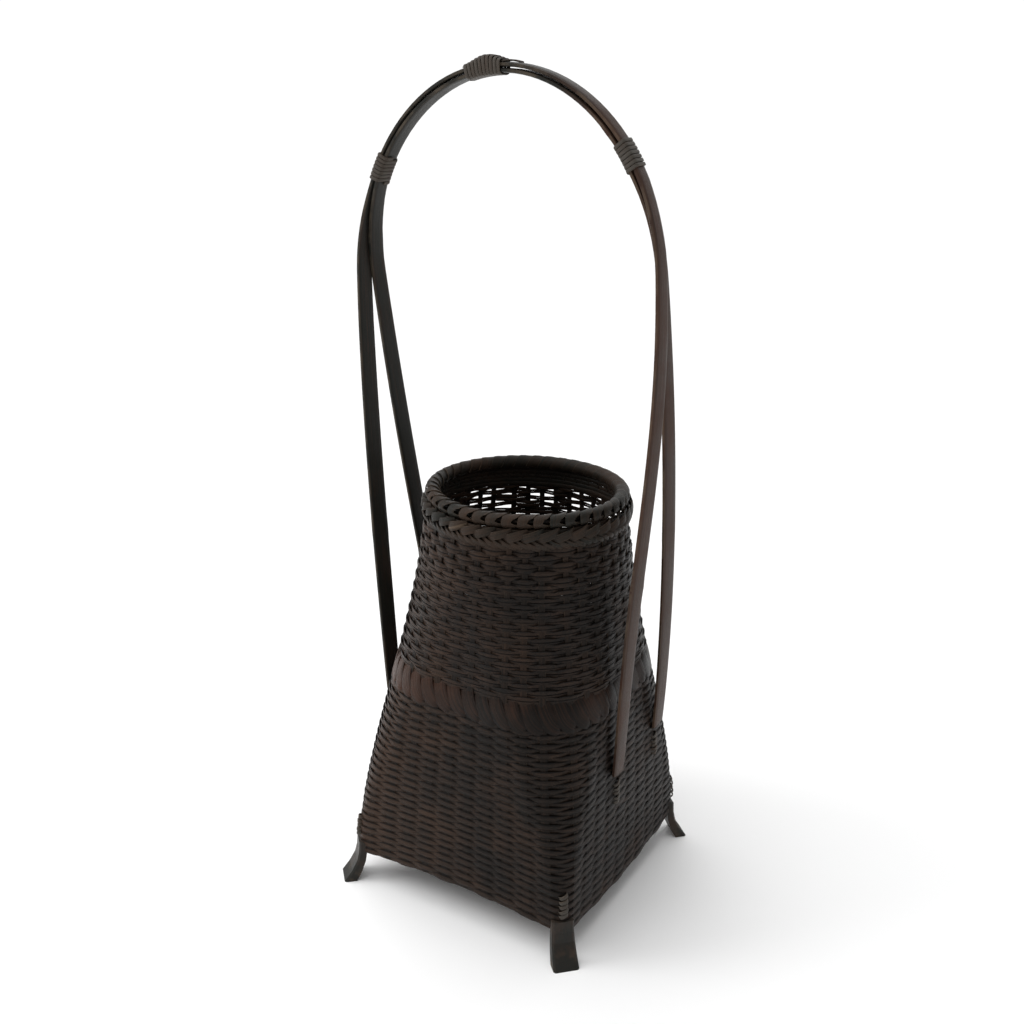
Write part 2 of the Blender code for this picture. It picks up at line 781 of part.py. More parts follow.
def slot_boxes():
    """Holes through the wall for the four leg tongues."""
    boxes = []
    for side, cell, _, end_height in LEG_LANDINGS.values():
        height = end_height - SEAT_GAP - SLOT_HEIGHT / 2
        middle, tangent, normal = cell_frame(side, cell, height)
        centre = middle - normal * (WALL_THICKNESS / 2)
        size = (LEG_TONGUE_WIDTH + 2 * SEAT_GAP, WALL_THICKNESS + 2 * CUT_OVERRUN, SLOT_HEIGHT)
        boxes.append((centre, tangent, normal, size))
    return boxes


def notch_boxes():
    """Notches in the wall's bottom corners for the four feet."""
    boxes = []
    inner = chamfer_reach(WALL_BOTTOM, STAKE_INSET) - WALL_THICKNESS
    outer = diagonal_reach(WALL_BOTTOM, 0.0, 0.0) + CUT_OVERRUN
    low = WALL_BOTTOM - CUT_OVERRUN
    for corner in CORNERS:
        centre = at_corner(corner, (inner + outer) / 2, 0.0, (low + NOTCH_TOP) / 2)
        normal = at_corner(corner, 1.0, 0.0, 0.0)
        tangent = at_corner(corner, 0.0, 1.0, 0.0)
        size = (2 * (FOOT_HALF_WIDTH_TOP + SEAT_GAP), outer - inner, NOTCH_TOP - low)
        boxes.append((centre, tangent, normal, size))
    return boxes


def cut_wall(wall, cutter_group):
    """Take the slots and notches out of the lower wall."""
    bm = bmesh.new()
    for centre, tangent, normal, size in slot_boxes() + notch_boxes():
        made = bmesh.ops.create_cube(bm, size=1.0)
        for vert in made["verts"]:
            local = vert.co.copy()
            vert.co = (centre + tangent * (local.x * size[0]) + normal * (local.y * size[1])
                       + Vector((0, 0, local.z * size[2])))
    cutter = add_mesh_object("wall_cutter", bm, STAKE_FINISH, cutter_group)
    cutter.hide_render = True
    cutter.display_type = "WIRE"
    cut = wall.modifiers.new("slots_and_notches", "BOOLEAN")
    cut.operation = "DIFFERENCE"
    cut.solver = "EXACT"
    cut.object = cutter


# Lashings

def loop_outline(half_width, below, above, clearance):
    """24 points once round a flat bundle, at a clearance from its corners."""
    corners = ((half_width, above, 0), (-half_width, above, 90),
               (-half_width, -below, 180), (half_width, -below, 270))
    sides = (3, 1, 3, 1)
    points = []
    for k, (b, n, start) in enumerate(corners):
        for step in range(4):
            angle = math.radians(start + 30 * step)
            points.append((b + clearance * math.cos(angle), n + clearance * math.sin(angle)))
        next_b, next_n, next_start = corners[(k + 1) % 4]
        angle = math.radians(next_start)
        target = (next_b + clearance * math.cos(angle), next_n + clearance * math.sin(angle))
        for step in range(1, sides[k] + 1):
            t = step / (sides[k] + 1)
            last = points[-1] if step == 1 else last
            points.append((last[0] + (target[0] - last[0]) * t,
                           last[1] + (target[1] - last[1]) * t))
    return points


def wound_points(path, start, turns, above_at):
    """Points of one unbroken cane wound round the stacked strips."""
    half_width = ARCH_STRIP_WIDTH / 2
    below = STRIP_THICKNESS + PAIR_GAP / 2
    clearance = CANE_CLEARANCE + CANE_RADIUS
    points = []
    for i in range(turns * TURN_POINTS + 1):
        distance = start + CANE_PITCH * i / TURN_POINTS
        bundle = loop_outline(half_width, below, above_at(distance), clearance)
        b, n = bundle[i % TURN_POINTS]
        point, (_, outward, across) = path.at(distance)
        points.append(point + across * b + outward * n)
    return points


def least_self_gap(points):
    """Least clear distance between one turn and the next ones."""
    least = None
    skip = TURN_POINTS // 2
    for i, a in enumerate(points):
        for b in points[i + skip:i + 2 * TURN_POINTS]:
            gap = (a - b).length - 2 * CANE_RADIUS
            least = gap if least is None else min(least, gap)
    return least


def add_cane(name, points, group):
    curve = bpy.data.curves.new(name, "CURVE")
    curve.dimensions = "3D"
    curve.bevel_depth = CANE_RADIUS
    curve.bevel_resolution = 1
    curve.use_fill_caps = True
    spline = curve.splines.new("POLY")
    spline.points.add(len(points) - 1)
    for place, point in zip(spline.points, points):
        place.co = (point.x, point.y, point.z, 1)
    curve.materials.append(finish_material(name + "_finish", CANE_FINISH))
    item = bpy.data.objects.new(name, curve)
    group.objects.link(item)
    gap = least_self_gap(points)
    print(name, "least gap between turns", round(gap * 1000, 3), "mm")
    if gap < LEAST_SELF_GAP:
        raise ValueError(name + " touches itself")
    return item


def arch_path():
    """The line midway through the stacked strips, over the arch."""
    fine = 4 * ARCH_SEGMENTS
    return Path([lean_point(arch_point(None, math.pi * k / fine)) for k in range(fine + 1)])


def distance_at_angle(path, angle):
    return path.lengths[round(angle / math.pi * (len(path.points) - 1))]


def bolster_share(path, distance):
    """Place along the bolster, from 0 at its left end to 1 at its right."""
    length = TOP_TURNS * CANE_PITCH
    middle = distance_at_angle(path, math.pi / 2) - TOP_LASHING_SHIFT
    return (distance - middle) / length + 0.5


def bolster_height(share):
    share = min(max(share, 0.0), 1.0)
    swell = math.sin(math.pi * share ** BOLSTER_PEAK_POWER)
    return BOLSTER_END_HEIGHT + (BOLSTER_HEIGHT - BOLSTER_END_HEIGHT) * swell


def make_top_bolster(path, group):
    """The small pad of bamboo that the top lashing binds on the arch."""
    length = TOP_TURNS * CANE_PITCH
    middle = distance_at_angle(path, math.pi / 2) - TOP_LASHING_SHIFT
    stations = 12
    low = STRIP_THICKNESS + PAIR_GAP / 2 + SEAT_GAP
    half = ARCH_STRIP_WIDTH / 2
    rings = []
    for k in range(stations + 1):
        share = k / stations
        top = low + bolster_height(share)
        edge = min(BOLSTER_EDGE, (top - low) * 2 / 3)
        section = [(-half, low), (half, low), (half, top - edge), (half - edge, top),
                   (-half + edge, top), (-half, top - edge)]
        point, (_, outward, across) = path.at(middle + (share - 0.5) * length)
        rings.append([point + across * b + outward * n for b, n in section])
    return add_mesh_object("top_bolster", skin(rings), STRIP_FINISH, group)


def make_lashings(group):
    path = arch_path()
    make_top_bolster(path, group)
    flat = STRIP_THICKNESS + PAIR_GAP / 2

    def above_bolster(distance):
        return flat + 2 * SEAT_GAP + bolster_height(bolster_share(path, distance))

    middle = distance_at_angle(path, math.pi / 2) - TOP_LASHING_SHIFT
    start = middle - TOP_TURNS * CANE_PITCH / 2
    add_cane("top_lashing", wound_points(path, start, TOP_TURNS, above_bolster), group)
    shoulder_angle = math.asin(SHOULDER_RISE_SHARE)
    for name, angle in (("left", shoulder_angle), ("right", math.pi - shoulder_angle)):
        start = distance_at_angle(path, angle) - SHOULDER_TURNS * CANE_PITCH / 2
        points = wound_points(path, start, SHOULDER_TURNS, lambda distance: flat)
        add_cane("shoulder_lashing_" + name, points, group)


# Stitched ties

def tie_rings(frame_at, length):
    """Rings of a row of stitches that lies on the wall, top to bottom."""
    steps = 3 * TIE_BUMPS
    rings = []
    for k in range(steps + 1):
        swell = abs(math.sin(math.pi * k / 3 + math.pi / 6))
        scale = TIE_WAIST_SHARE + (1 - TIE_WAIST_SHARE) * swell
        if k in (0, steps):
            scale = TIE_WAIST_SHARE / 2
        half = TIE_WIDTH / 2 * scale
        deep = TIE_THICKNESS * scale
        shift = TIE_ZIGZAG * (1 if (k // 3) % 2 else -1)
        middle, tangent, normal = frame_at(length * k / steps)
        section = [(-half, 0.0), (half, 0.0), (half * 0.7, deep), (-half * 0.7, deep)]
        rings.append([middle + tangent * (b + shift) + normal * (SEAT_GAP + n)
                      for b, n in section])
    return rings


def make_leg_tie(leg, group):
    side, cell, _, end_height = LEG_LANDINGS[leg]
    top = end_height - SEAT_GAP - SLOT_HEIGHT - TIE_OFFSET

    def frame_at(distance):
        return cell_frame(side, cell, top - distance)

    name = "leg_tie_" + LEG_NAMES[leg]
    return add_mesh_object(name, skin(tie_rings(frame_at, LEG_TIE_LENGTH)), CANE_FINISH, group)


def make_foot_tie(corner, group):
    top = NOTCH_TOP + TIE_OFFSET + FOOT_TIE_LENGTH

    def frame_at(distance):
        height = top - distance
        reach = diagonal_reach(height, 0.0, 0.0)
        return (at_corner(corner, reach, 0.0, height), at_corner(corner, 0.0, 1.0, 0.0),
                at_corner(corner, 1.0, 0.0, 0.0))

    name = "foot_tie_" + corner
    return add_mesh_object(name, skin(tie_rings(frame_at, FOOT_TIE_LENGTH)), CANE_FINISH, group)


def centre_on_floor(groups):
    """Move every piece alike, so the origin is under the middle of the whole."""
    bpy.context.view_layer.update()
    reach = [(item.matrix_world @ Vector(corner)).x
             for item in groups[0].objects for corner in item.bound_box]
    middle = (min(reach) + max(reach)) / 2
    for group in groups:
        for item in group.objects:
            item.location.x -= middle


def build():
    clear_scene()
    group = new_collection(COLLECTION_NAME)
    cutters = new_collection(CUTTER_COLLECTION_NAME)

    make_base_panel(group)
    splint_length = 2 * (BASE_HALF_SIDE - PANEL_INSET - SEAT_GAP)
    below = WALL_BOTTOM - SPLINT_THICKNESS / 2
    above = WALL_BOTTOM + 2 * SEAT_GAP + BASE_PANEL_THICKNESS + SPLINT_THICKNESS / 2
    make_splint("base_splint_under", True, below, splint_length, group)
    make_splint("base_splint_over", False, above, splint_length, group)
    make_stakes(group)

    wall = make_wall("lower_wall", lower_levels(), WEAVE_FINISH, group)
    cut_wall(wall, cutters)
    make_braided_ring("plaited_band", WALL_SPLIT + SEAT_GAP, BAND_TOP, BAND_PROUD,
                      (1, -1), BAND_FINISH, group)
    make_wall("upper_wall", upper_levels(), WEAVE_FINISH, group, open_rows())
    make_braided_ring("rim_plait_lower", MOUTH_LEVEL + SEAT_GAP, PLAIT_SPLIT, PLAIT_PROUD,
                      (1, 1), RIM_FINISH, group)
    make_braided_ring("rim_plait_upper", PLAIT_SPLIT + SEAT_GAP, PLAIT_TOP, PLAIT_PROUD,
                      (-1, -1), RIM_FINISH, group)
    make_rim_core(group)
    make_rim_roll(group)

    for corner in CORNERS:
        make_foot(corner, group)
        make_foot_tie(corner, group)
    for strip in ("outer", "inner"):
        make_handle_strip(strip, group)
    for leg in LEG_LANDINGS:
        make_leg_tie(leg, group)
    make_lashings(group)
    centre_on_floor((group, cutters))


build()
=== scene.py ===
"""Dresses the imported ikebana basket: woven walls, plaited band and rim, lashed handle, feet and studio."""
import math
import random

import bmesh
import bpy
from bpy.props import FloatProperty, FloatVectorProperty, IntProperty, PointerProperty
from mathutils import Matrix, Vector


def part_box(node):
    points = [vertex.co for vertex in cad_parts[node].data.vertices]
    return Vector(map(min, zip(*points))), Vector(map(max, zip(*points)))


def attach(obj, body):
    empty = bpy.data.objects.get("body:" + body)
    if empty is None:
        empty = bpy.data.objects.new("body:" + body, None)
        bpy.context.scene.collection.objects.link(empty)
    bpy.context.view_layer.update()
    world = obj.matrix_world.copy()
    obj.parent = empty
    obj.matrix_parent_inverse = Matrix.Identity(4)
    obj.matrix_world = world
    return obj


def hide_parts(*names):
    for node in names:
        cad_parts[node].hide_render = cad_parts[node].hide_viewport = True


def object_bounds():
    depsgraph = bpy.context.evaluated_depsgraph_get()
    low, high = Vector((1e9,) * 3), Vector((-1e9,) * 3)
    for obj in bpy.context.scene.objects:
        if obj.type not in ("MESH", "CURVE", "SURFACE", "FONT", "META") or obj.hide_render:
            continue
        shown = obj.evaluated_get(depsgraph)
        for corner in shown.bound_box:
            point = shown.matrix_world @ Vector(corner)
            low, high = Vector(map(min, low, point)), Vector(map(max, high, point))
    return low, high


bl_info = {
    "name": "Ikebana Basket",
    "version": (1, 0, 0),
    "blender": (4, 5, 0),
    "location": "3D View > Sidebar > Basket",
    "description": "Builds a woven bamboo flower basket with a lashed arch handle",
    "category": "Add Mesh",
}

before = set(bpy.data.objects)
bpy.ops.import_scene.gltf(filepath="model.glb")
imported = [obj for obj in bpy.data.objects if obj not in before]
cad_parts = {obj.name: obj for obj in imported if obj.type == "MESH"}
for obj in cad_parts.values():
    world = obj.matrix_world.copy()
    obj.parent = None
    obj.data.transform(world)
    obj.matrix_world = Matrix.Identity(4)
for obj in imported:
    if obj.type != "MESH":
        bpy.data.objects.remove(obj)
CAD_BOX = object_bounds()

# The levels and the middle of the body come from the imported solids
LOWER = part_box("lower_wall")
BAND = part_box("plaited_band")
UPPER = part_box("upper_wall")
ROW_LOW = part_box("rim_plait_lower")
ROW_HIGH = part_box("rim_plait_upper")
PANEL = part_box("base_panel")
MIDDLE_X = (LOWER[0][0] + LOWER[1][0]) / 2
MIDDLE_Y = (LOWER[0][1] + LOWER[1][1]) / 2
FLOOR_LEVEL = CAD_BOX[0][2]
SEAT = 0.0003

SIDES = 4
CELLS_PER_SIDE = 21
CELLS = SIDES * CELLS_PER_SIDE
STAKES_PER_SIDE = 10
STAKES = SIDES * STAKES_PER_SIDE
STEPS_PER_CELL = 4
TURN_STEPS = CELLS * STEPS_PER_CELL

# Cells from a corner to its first stake, between stakes, and between stakes across a corner
FIRST_STAKE = 1.5
STAKE_STEP = 2
CORNER_STEP = 3

# Seeds of each piece's unevenness; those of the walls are added to the weave's own
SEEDS = {"lower_wall": 10, "upper_wall": 20, "open_rows": 30, "band": 11, "band_back": 31,
         "rim_rows": 5, "rim_back": 37, "rim_roll": 3, "base": 17}


# Settings

def length(name, text, default):
    """A length in metres that a user may change."""
    return FloatProperty(name=name, description=text, default=default, min=0.0,
                         unit="LENGTH", subtype="DISTANCE", precision=5)


def colour(name, text, default):
    """A linear colour that a user may change."""
    return FloatVectorProperty(name=name, description=text, default=default,
                               size=3, min=0.0, max=1.0, subtype="COLOR")


def plain(name, text, default):
    """A plain number that a user may change."""
    return FloatProperty(name=name, description=text, default=default)


def whole(name, text, default):
    """A whole number that a user may change."""
    return IntProperty(name=name, description=text, default=default)


def bearing(name, text, degrees):
    """An angle that a user may change."""
    return FloatProperty(name=name, description=text, default=math.radians(degrees), subtype="ANGLE")


class BodySettings(bpy.types.PropertyGroup):
    """Form of the body, square below and round above."""
    base_half_side: length("Base half side", "Half the side of the square bottom", 0.083)
    base_corner: length("Base corner", "Radius of the bottom's corners", 0.009)
    mouth_radius: length("Mouth radius", "Radius of the round mouth", 0.065)
    side_bulge: length("Side bulge", "How far the sides bulge half way up", 0.003)
    rounding_power: plain("Rounding", "How late the square turns round", 1.8)
    front_arch: length("Front arch", "How far the front bottom edge arches up", 0.0045)
    side_sag: length("Side sag", "How far the right bottom edge bows down", 0.0055)


class WeaveSettings(bpy.types.PropertyGroup):
    """Wefts and stakes of the walls."""
    seed: whole("Seed", "Seed of the weave's small unevenness", 7)
    lower_rows: whole("Lower rows", "Weft rows of the lower wall", 47)
    upper_rows: whole("Upper rows", "Rows of weft pairs in the upper wall", 18)
    open_rows: whole("Open rows", "Open rows of weft pairs under the rim", 5)
    weft_thickness: length("Weft thickness", "Thickness of a weft", 0.0008)
    fine_thickness: length("Fine weft thickness", "Thickness of a fine weft", 0.0007)
    stake_thickness: length("Stake thickness", "Thickness of a stake", 0.0009)
    stake_width_low: length("Stake width below", "Width of a stake at the bottom", 0.0058)
    stake_width_high: length("Stake width above", "Width of a stake at the rim", 0.0034)
    stake_depth: length("Stake depth", "Depth of a stake's middle in the wall", 0.0013)
    unevenness: length("Unevenness", "How far a weft wanders", 0.00022)
    open_from: length("Open from", "Height where the open rows start", 0.2330)


class PlaitSettings(bpy.types.PropertyGroup):
    """Plaited band, plaited rows and curled rim."""
    band_strips: whole("Band strips", "Strips round the band", 50)
    band_strip_width: length("Band strip width", "Width of a strip of the band", 0.0112)
    rim_strips: whole("Rim strips", "Strips round the rim", 42)
    claw_width: length("Claw width", "Width of a strip where it leaves the rim", 0.0060)
    roll_radius: length("Roll radius", "Radius of the curled rim", 0.0044)
    ring_radius: length("Rim radius", "Radius of the rim's hoop", 0.0594)
    ring_height: length("Rim height", "Height of the rim's hoop", 0.2716)
    strip_thickness: length("Strip thickness", "Thickness of a plaited strip", 0.0010)


class HandleSettings(bpy.types.PropertyGroup):
    """The two stacked strips of the handle."""
    half_span: length("Half span", "Half the width of the arch", 0.0995)
    spring_height: length("Spring height", "Height where the arch starts", 0.4057)
    rise: length("Rise", "Height of the arch over its springing", 0.1115)
    lean: length("Lean", "How far the arch leans to one side", 0.0265)
    arch_width: length("Arch strip width", "Width of a strip on the arch", 0.0116)
    leg_width: length("Leg strip width", "Width of a strip at its leg's end", 0.0132)
    thickness: length("Strip thickness", "Thickness of a strip", 0.0028)
    gap: length("Strip gap", "Gap between the stacked strips", 0.0004)


class LashingSettings(bpy.types.PropertyGroup):
    """Cane that binds the handle, the feet and the legs."""
    cane_width: length("Cane width", "Width of the flat cane", 0.0021)
    cane_thickness: length("Cane thickness", "Thickness of the flat cane", 0.0009)
    pitch: length("Cane pitch", "Distance from one turn to the next", 0.0024)
    top_turns: whole("Top turns", "Turns of the top lashing", 10)
    shoulder_turns: whole("Shoulder turns", "Turns at a shoulder", 7)
    stitch_width: length("Stitch width", "Width of one stitch of a tie", 0.0024)


class FinishSettings(bpy.types.PropertyGroup):
    """Colours of the lacquered bamboo."""
    dark: colour("Dark", "Dark lacquer", (0.0080, 0.0064, 0.0054))
    brown: colour("Brown", "Brown where the lacquer is thin", (0.0430, 0.0245, 0.0158))
    red: colour("Red", "Red-brown of rubbed strips", (0.0500, 0.0225, 0.0135))
    # Painted shade: near black laid along the strands' edges, where shadow falls between rows and strips
    painted_shade: colour("Crevice", "Lacquer gathered along the strands' edges", (0.0012, 0.0010, 0.0009))
    # Pale also paints the highlight along the strips' edges, besides worn fibre
    pale: colour("Pale", "Pale fibre where the skin is worn", (0.150, 0.112, 0.076))
    charcoal: colour("Charcoal", "Charcoal of the handle", (0.0142, 0.0142, 0.0120))
    cane: colour("Cane", "Greyed cane", (0.0660, 0.0590, 0.0505))


class StageSettings(bpy.types.PropertyGroup):
    """Camera and light."""
    azimuth: bearing("Azimuth", "Turn of the camera round the basket", 30.388)
    pitch: bearing("Pitch", "How far the camera looks down", 20.742)
    roll: bearing("Roll", "Roll of the camera", 1.376)
    lens: plain("Lens", "Focal length in millimetres", 40.324)
    key: plain("Key light", "Power of the key light", 10.3)
    fill: plain("Fill light", "Power of the fill light", 0.3)
    overhead: plain("Overhead", "Strength of the broad overhead light", 1.9)
    sky: plain("Backdrop", "Strength of the white backdrop", 1.04)
    room: plain("Room", "Strength of the dimmer room before the basket", 0.42)


# Form of the body

def body_section(height):
    """Half side and corner radius of the body's outline at a height."""
    body = bpy.context.scene.basket_body
    low, high = LOWER[0][2], UPPER[1][2]
    t = min(max((height - low) / (high - low), 0.0), 1.0)
    half = body.base_half_side * (1 - t) + body.mouth_radius * t + body.side_bulge * 4 * t * (1 - t)
    roundness = math.sin(math.pi * t / 2) ** body.rounding_power
    return half, body.base_corner * (1 - roundness) + half * roundness


class Wall:
    """The body's outer face at one height."""

    def __init__(self, height):
        self.height = height
        self.half, self.corner = body_section(height)
        self.arc = math.pi * self.corner / 4
        self.length = 2 * (self.arc + self.half - self.corner)

    def place(self, cell):
        """Point and outward direction at a cell counted anticlockwise round the body."""
        side, step = divmod(cell % CELLS, CELLS_PER_SIDE)
        along = step / CELLS_PER_SIDE * self.length
        inner = self.half - self.corner
        turned = min(along, self.arc) + max(along - self.length + self.arc, 0.0)
        angle = math.pi / 4 + turned / self.corner
        centre = inner - min(max(along - self.arc, 0.0), 2 * inner)
        nx, ny = math.cos(angle), math.sin(angle)
        x, y = centre + self.corner * nx, inner + self.corner * ny
        for _ in range(int(side)):
            x, y, nx, ny = -y, x, -ny, nx
        return x, y, nx, ny

    def point(self, cell, depth, rise=0.0):
        """World point at a cell, that deep inside the outer face."""
        x, y, nx, ny = self.place(cell)
        return Vector((MIDDLE_X + x - nx * depth, MIDDLE_Y + y - ny * depth, self.height + rise))


class WallFace:
    """The body's outer face: u counts cells round it and v is the height."""

    def scale(self, u, v):
        return Wall(v).length / CELLS_PER_SIDE, 1.0

    def point(self, u, v, lift):
        return Wall(v).point(u, -lift)


class RimFace:
    """The curled rim: u is the angle round the mouth and v the angle round the hoop."""

    def __init__(self):
        self.plait = bpy.context.scene.basket_plait

    def scale(self, u, v):
        return (self.plait.ring_radius + self.plait.roll_radius * math.cos(v)), self.plait.roll_radius

    def point(self, u, v, lift):
        radius = self.plait.roll_radius - self.plait.strip_thickness / 2 + lift
        reach = self.plait.ring_radius + radius * math.cos(v)
        return Vector((MIDDLE_X + reach * math.cos(u), MIDDLE_Y + reach * math.sin(u),
                       self.plait.ring_height + radius * math.sin(v)))


def stake_cell(number):
    """Cell of a stake's middle, counted anticlockwise from a corner."""
    side, place = divmod(number, STAKES_PER_SIDE)
    return side * CELLS_PER_SIDE + FIRST_STAKE + STAKE_STEP * place


def stake_count(cell):
    """Where a cell lies among the stakes: a whole number at each stake's middle."""
    side, step = divmod(cell % CELLS, CELLS_PER_SIDE)
    if step < FIRST_STAKE:
        place = (step - FIRST_STAKE) / CORNER_STEP
    elif step > CELLS_PER_SIDE - FIRST_STAKE:
        place = STAKES_PER_SIDE - 1 + (step - CELLS_PER_SIDE + FIRST_STAKE) / CORNER_STEP
    else:
        place = (step - FIRST_STAKE) / STAKE_STEP
    return side * STAKES_PER_SIDE + place


def bottom_bend(cell):
    """How far the bottom edge lies above its level: it arches in front and sags at the right."""
    body = bpy.context.scene.basket_body
    side, step = divmod(cell % CELLS, CELLS_PER_SIDE)
    bow = math.sin(math.pi * step / CELLS_PER_SIDE)
    if side in (1, 2):
        return body.front_arch * bow
    if side == 3:
        return -body.side_sag * bow
    return 0.0


def smooth(value):
    """An eased step from 0 to 1."""
    value = min(max(value, 0.0), 1.0)
    return value * value * (3 - 2 * value)


# Mesh helpers

SHARP_ANGLE = math.radians(40)


class Piece:
    """A mesh being made, with the strand pattern its material reads."""

    def __init__(self, name):
        self.name = name
        self.bm = bmesh.new()
        self.strand = self.bm.verts.layers.float_vector.new("strand")
        self.border = self.bm.verts.layers.float.new("border")

    def tube(self, levels, sides, place, square):
        """Adds a capped tube and puts every vertex where place says for its level and section."""
        first = len(self.bm.verts)
        bmesh.ops.create_cone(self.bm, cap_ends=True, segments=sides,
                              radius1=1.0, radius2=1.0, depth=1.0)
        self.bm.verts.ensure_lookup_table()
        edges = {e for v in self.bm.verts[first:] for e in v.link_edges
                 if abs(e.verts[0].co.z - e.verts[1].co.z) > 0.5}
        bmesh.ops.subdivide_edges(self.bm, edges=list(edges), cuts=levels - 2)
        self.bm.verts.ensure_lookup_table()
        for v in self.bm.verts[first:]:
            level = round((v.co.z + 0.5) * (levels - 1))
            angle = math.atan2(v.co.y, v.co.x) + math.pi / sides
            x, y = squared(math.cos(angle), square), squared(math.sin(angle), square)
            v.co, v[self.strand] = place(level, x, y)
            v[self.border] = abs(x)

    def bar(self, stations, sides=8, tone=0.5, square=0.55, crown=0.0):
        """Lays a strip through stations: middle, across, outward, half width, half thickness.

        Tone is the strip's own shade from 0 to 1, and crown is how far its outer face is rounded.
        """
        along = [0.0]
        for a, b in zip(stations, stations[1:]):
            along.append(along[-1] + (b[0] - a[0]).length)

        def place(level, x, y):
            middle, across, outward, half_width, half_thickness = stations[level]
            lift = half_thickness * (y - crown * x * x * max(y, 0.0))
            point = middle + across * (half_width * x) + outward * lift
            return point, Vector((along[level], half_width * x, tone))

        self.tube(len(stations), sides, place, square)

    def lay(self, face, route, thickness, tone=0.5, crown=0.3, sides=8):
        """Lays a strip on a face: route gives u, v, lift, width and tilt at each station."""
        stations = []
        along = 0.0
        for k, (u, v, lift, width, tilt) in enumerate(route):
            before, after = route[max(k - 1, 0)], route[min(k + 1, len(route) - 1)]
            scale_u, scale_v = face.scale(u, v)
            run = Vector(((after[0] - before[0]) * scale_u, (after[1] - before[1]) * scale_v))
            if k:
                last = route[k - 1]
                along += Vector(((u - last[0]) * scale_u, (v - last[1]) * scale_v)).length
            run.normalize()
            stations.append((u, v, lift, width / 2, math.sin(math.radians(tilt)), along,
                             run.y / scale_u, -run.x / scale_v))

        def place(level, x, y):
            u, v, lift, half_width, slope, distance, across_u, across_v = stations[level]
            offset = half_width * x
            lift += thickness / 2 * (y - crown * x * x * max(y, 0.0)) - offset * slope
            point = face.point(u + across_u * offset, v + across_v * offset, lift)
            return point, Vector((distance, offset, tone))

        self.tube(len(stations), sides, place, 0.6)

    def rings(self, rows, sides, place):
        """Spins closed wefts, one for each row, and puts every vertex where place says."""
        first = len(self.bm.verts)
        spread = 0.5
        turn = Matrix.Rotation(math.pi / 2, 4, "X")
        for row in range(rows):
            matrix = Matrix.Translation((1.0, 0.0, row * spread)) @ turn
            bmesh.ops.create_circle(self.bm, segments=sides, radius=0.1, matrix=matrix)
        self.bm.verts.ensure_lookup_table()
        profile = self.bm.verts[first:]
        edges = {e for v in profile for e in v.link_edges}
        bmesh.ops.spin(self.bm, geom=list(profile) + list(edges), cent=(0, 0, 0), axis=(0, 0, 1),
                       angle=2 * math.pi, steps=TURN_STEPS, use_merge=True)
        self.bm.verts.ensure_lookup_table()
        for v in self.bm.verts[first:]:
            row = round(v.co.z / spread)
            step = round(math.atan2(v.co.y, v.co.x) / (2 * math.pi) * TURN_STEPS) % TURN_STEPS
            angle = math.atan2(v.co.z - row * spread, math.hypot(v.co.x, v.co.y) - 1.0)
            v.co, v[self.strand] = place(row, step, math.cos(angle), math.sin(angle))
            v[self.border] = abs(math.sin(angle))

    def finish(self, finish, slot, node):
        """Makes the object, which rides on the body and stands for the node."""
        bmesh.ops.recalc_face_normals(self.bm, faces=self.bm.faces)
        mesh = bpy.data.meshes.new(self.name)
        self.bm.to_mesh(mesh)
        self.bm.free()
        mesh.materials.append(bpy.data.materials[finish])
        mesh.shade_smooth()
        mesh.set_sharp_from_angle(angle=SHARP_ANGLE)
        piece = bpy.data.objects.new(self.name, mesh)
        bpy.context.scene.collection.objects.link(piece)
        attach(piece, "root")
        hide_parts(node)


def squared(value, power):
    """Pulls a unit value outwards, so that a round section gets flatter faces."""
    return math.copysign(abs(value) ** power, value)


# Materials

class Value:
    """A shader socket that takes part in ordinary sums."""

    def __init__(self, finish, socket):
        self.finish = finish
        self.socket = socket

    def maths(self, operation, a, b):
        return self.finish.node("ShaderNodeMath", {"operation": operation}, {0: a, 1: b})

    def __add__(self, other):
        return self.maths("ADD", self, other)

    def __radd__(self, other):
        return self.maths("ADD", other, self)

    def __sub__(self, other):
        return self.maths("SUBTRACT", self, other)

    def __rsub__(self, other):
        return self.maths("SUBTRACT", other, self)

    def __mul__(self, other):
        return self.maths("MULTIPLY", self, other)

    def __rmul__(self, other):
        return self.maths("MULTIPLY", other, self)

    def limited(self):
        """Kept between 0 and 1."""
        return self.finish.node("ShaderNodeClamp", {}, {"Value": self})

    def step(self, low, high):
        """0 below low, 1 above high, eased between."""
        return self.finish.node("ShaderNodeMapRange", {"interpolation_type": "SMOOTHSTEP"},
                                {"Value": self, "From Min": low, "From Max": high})


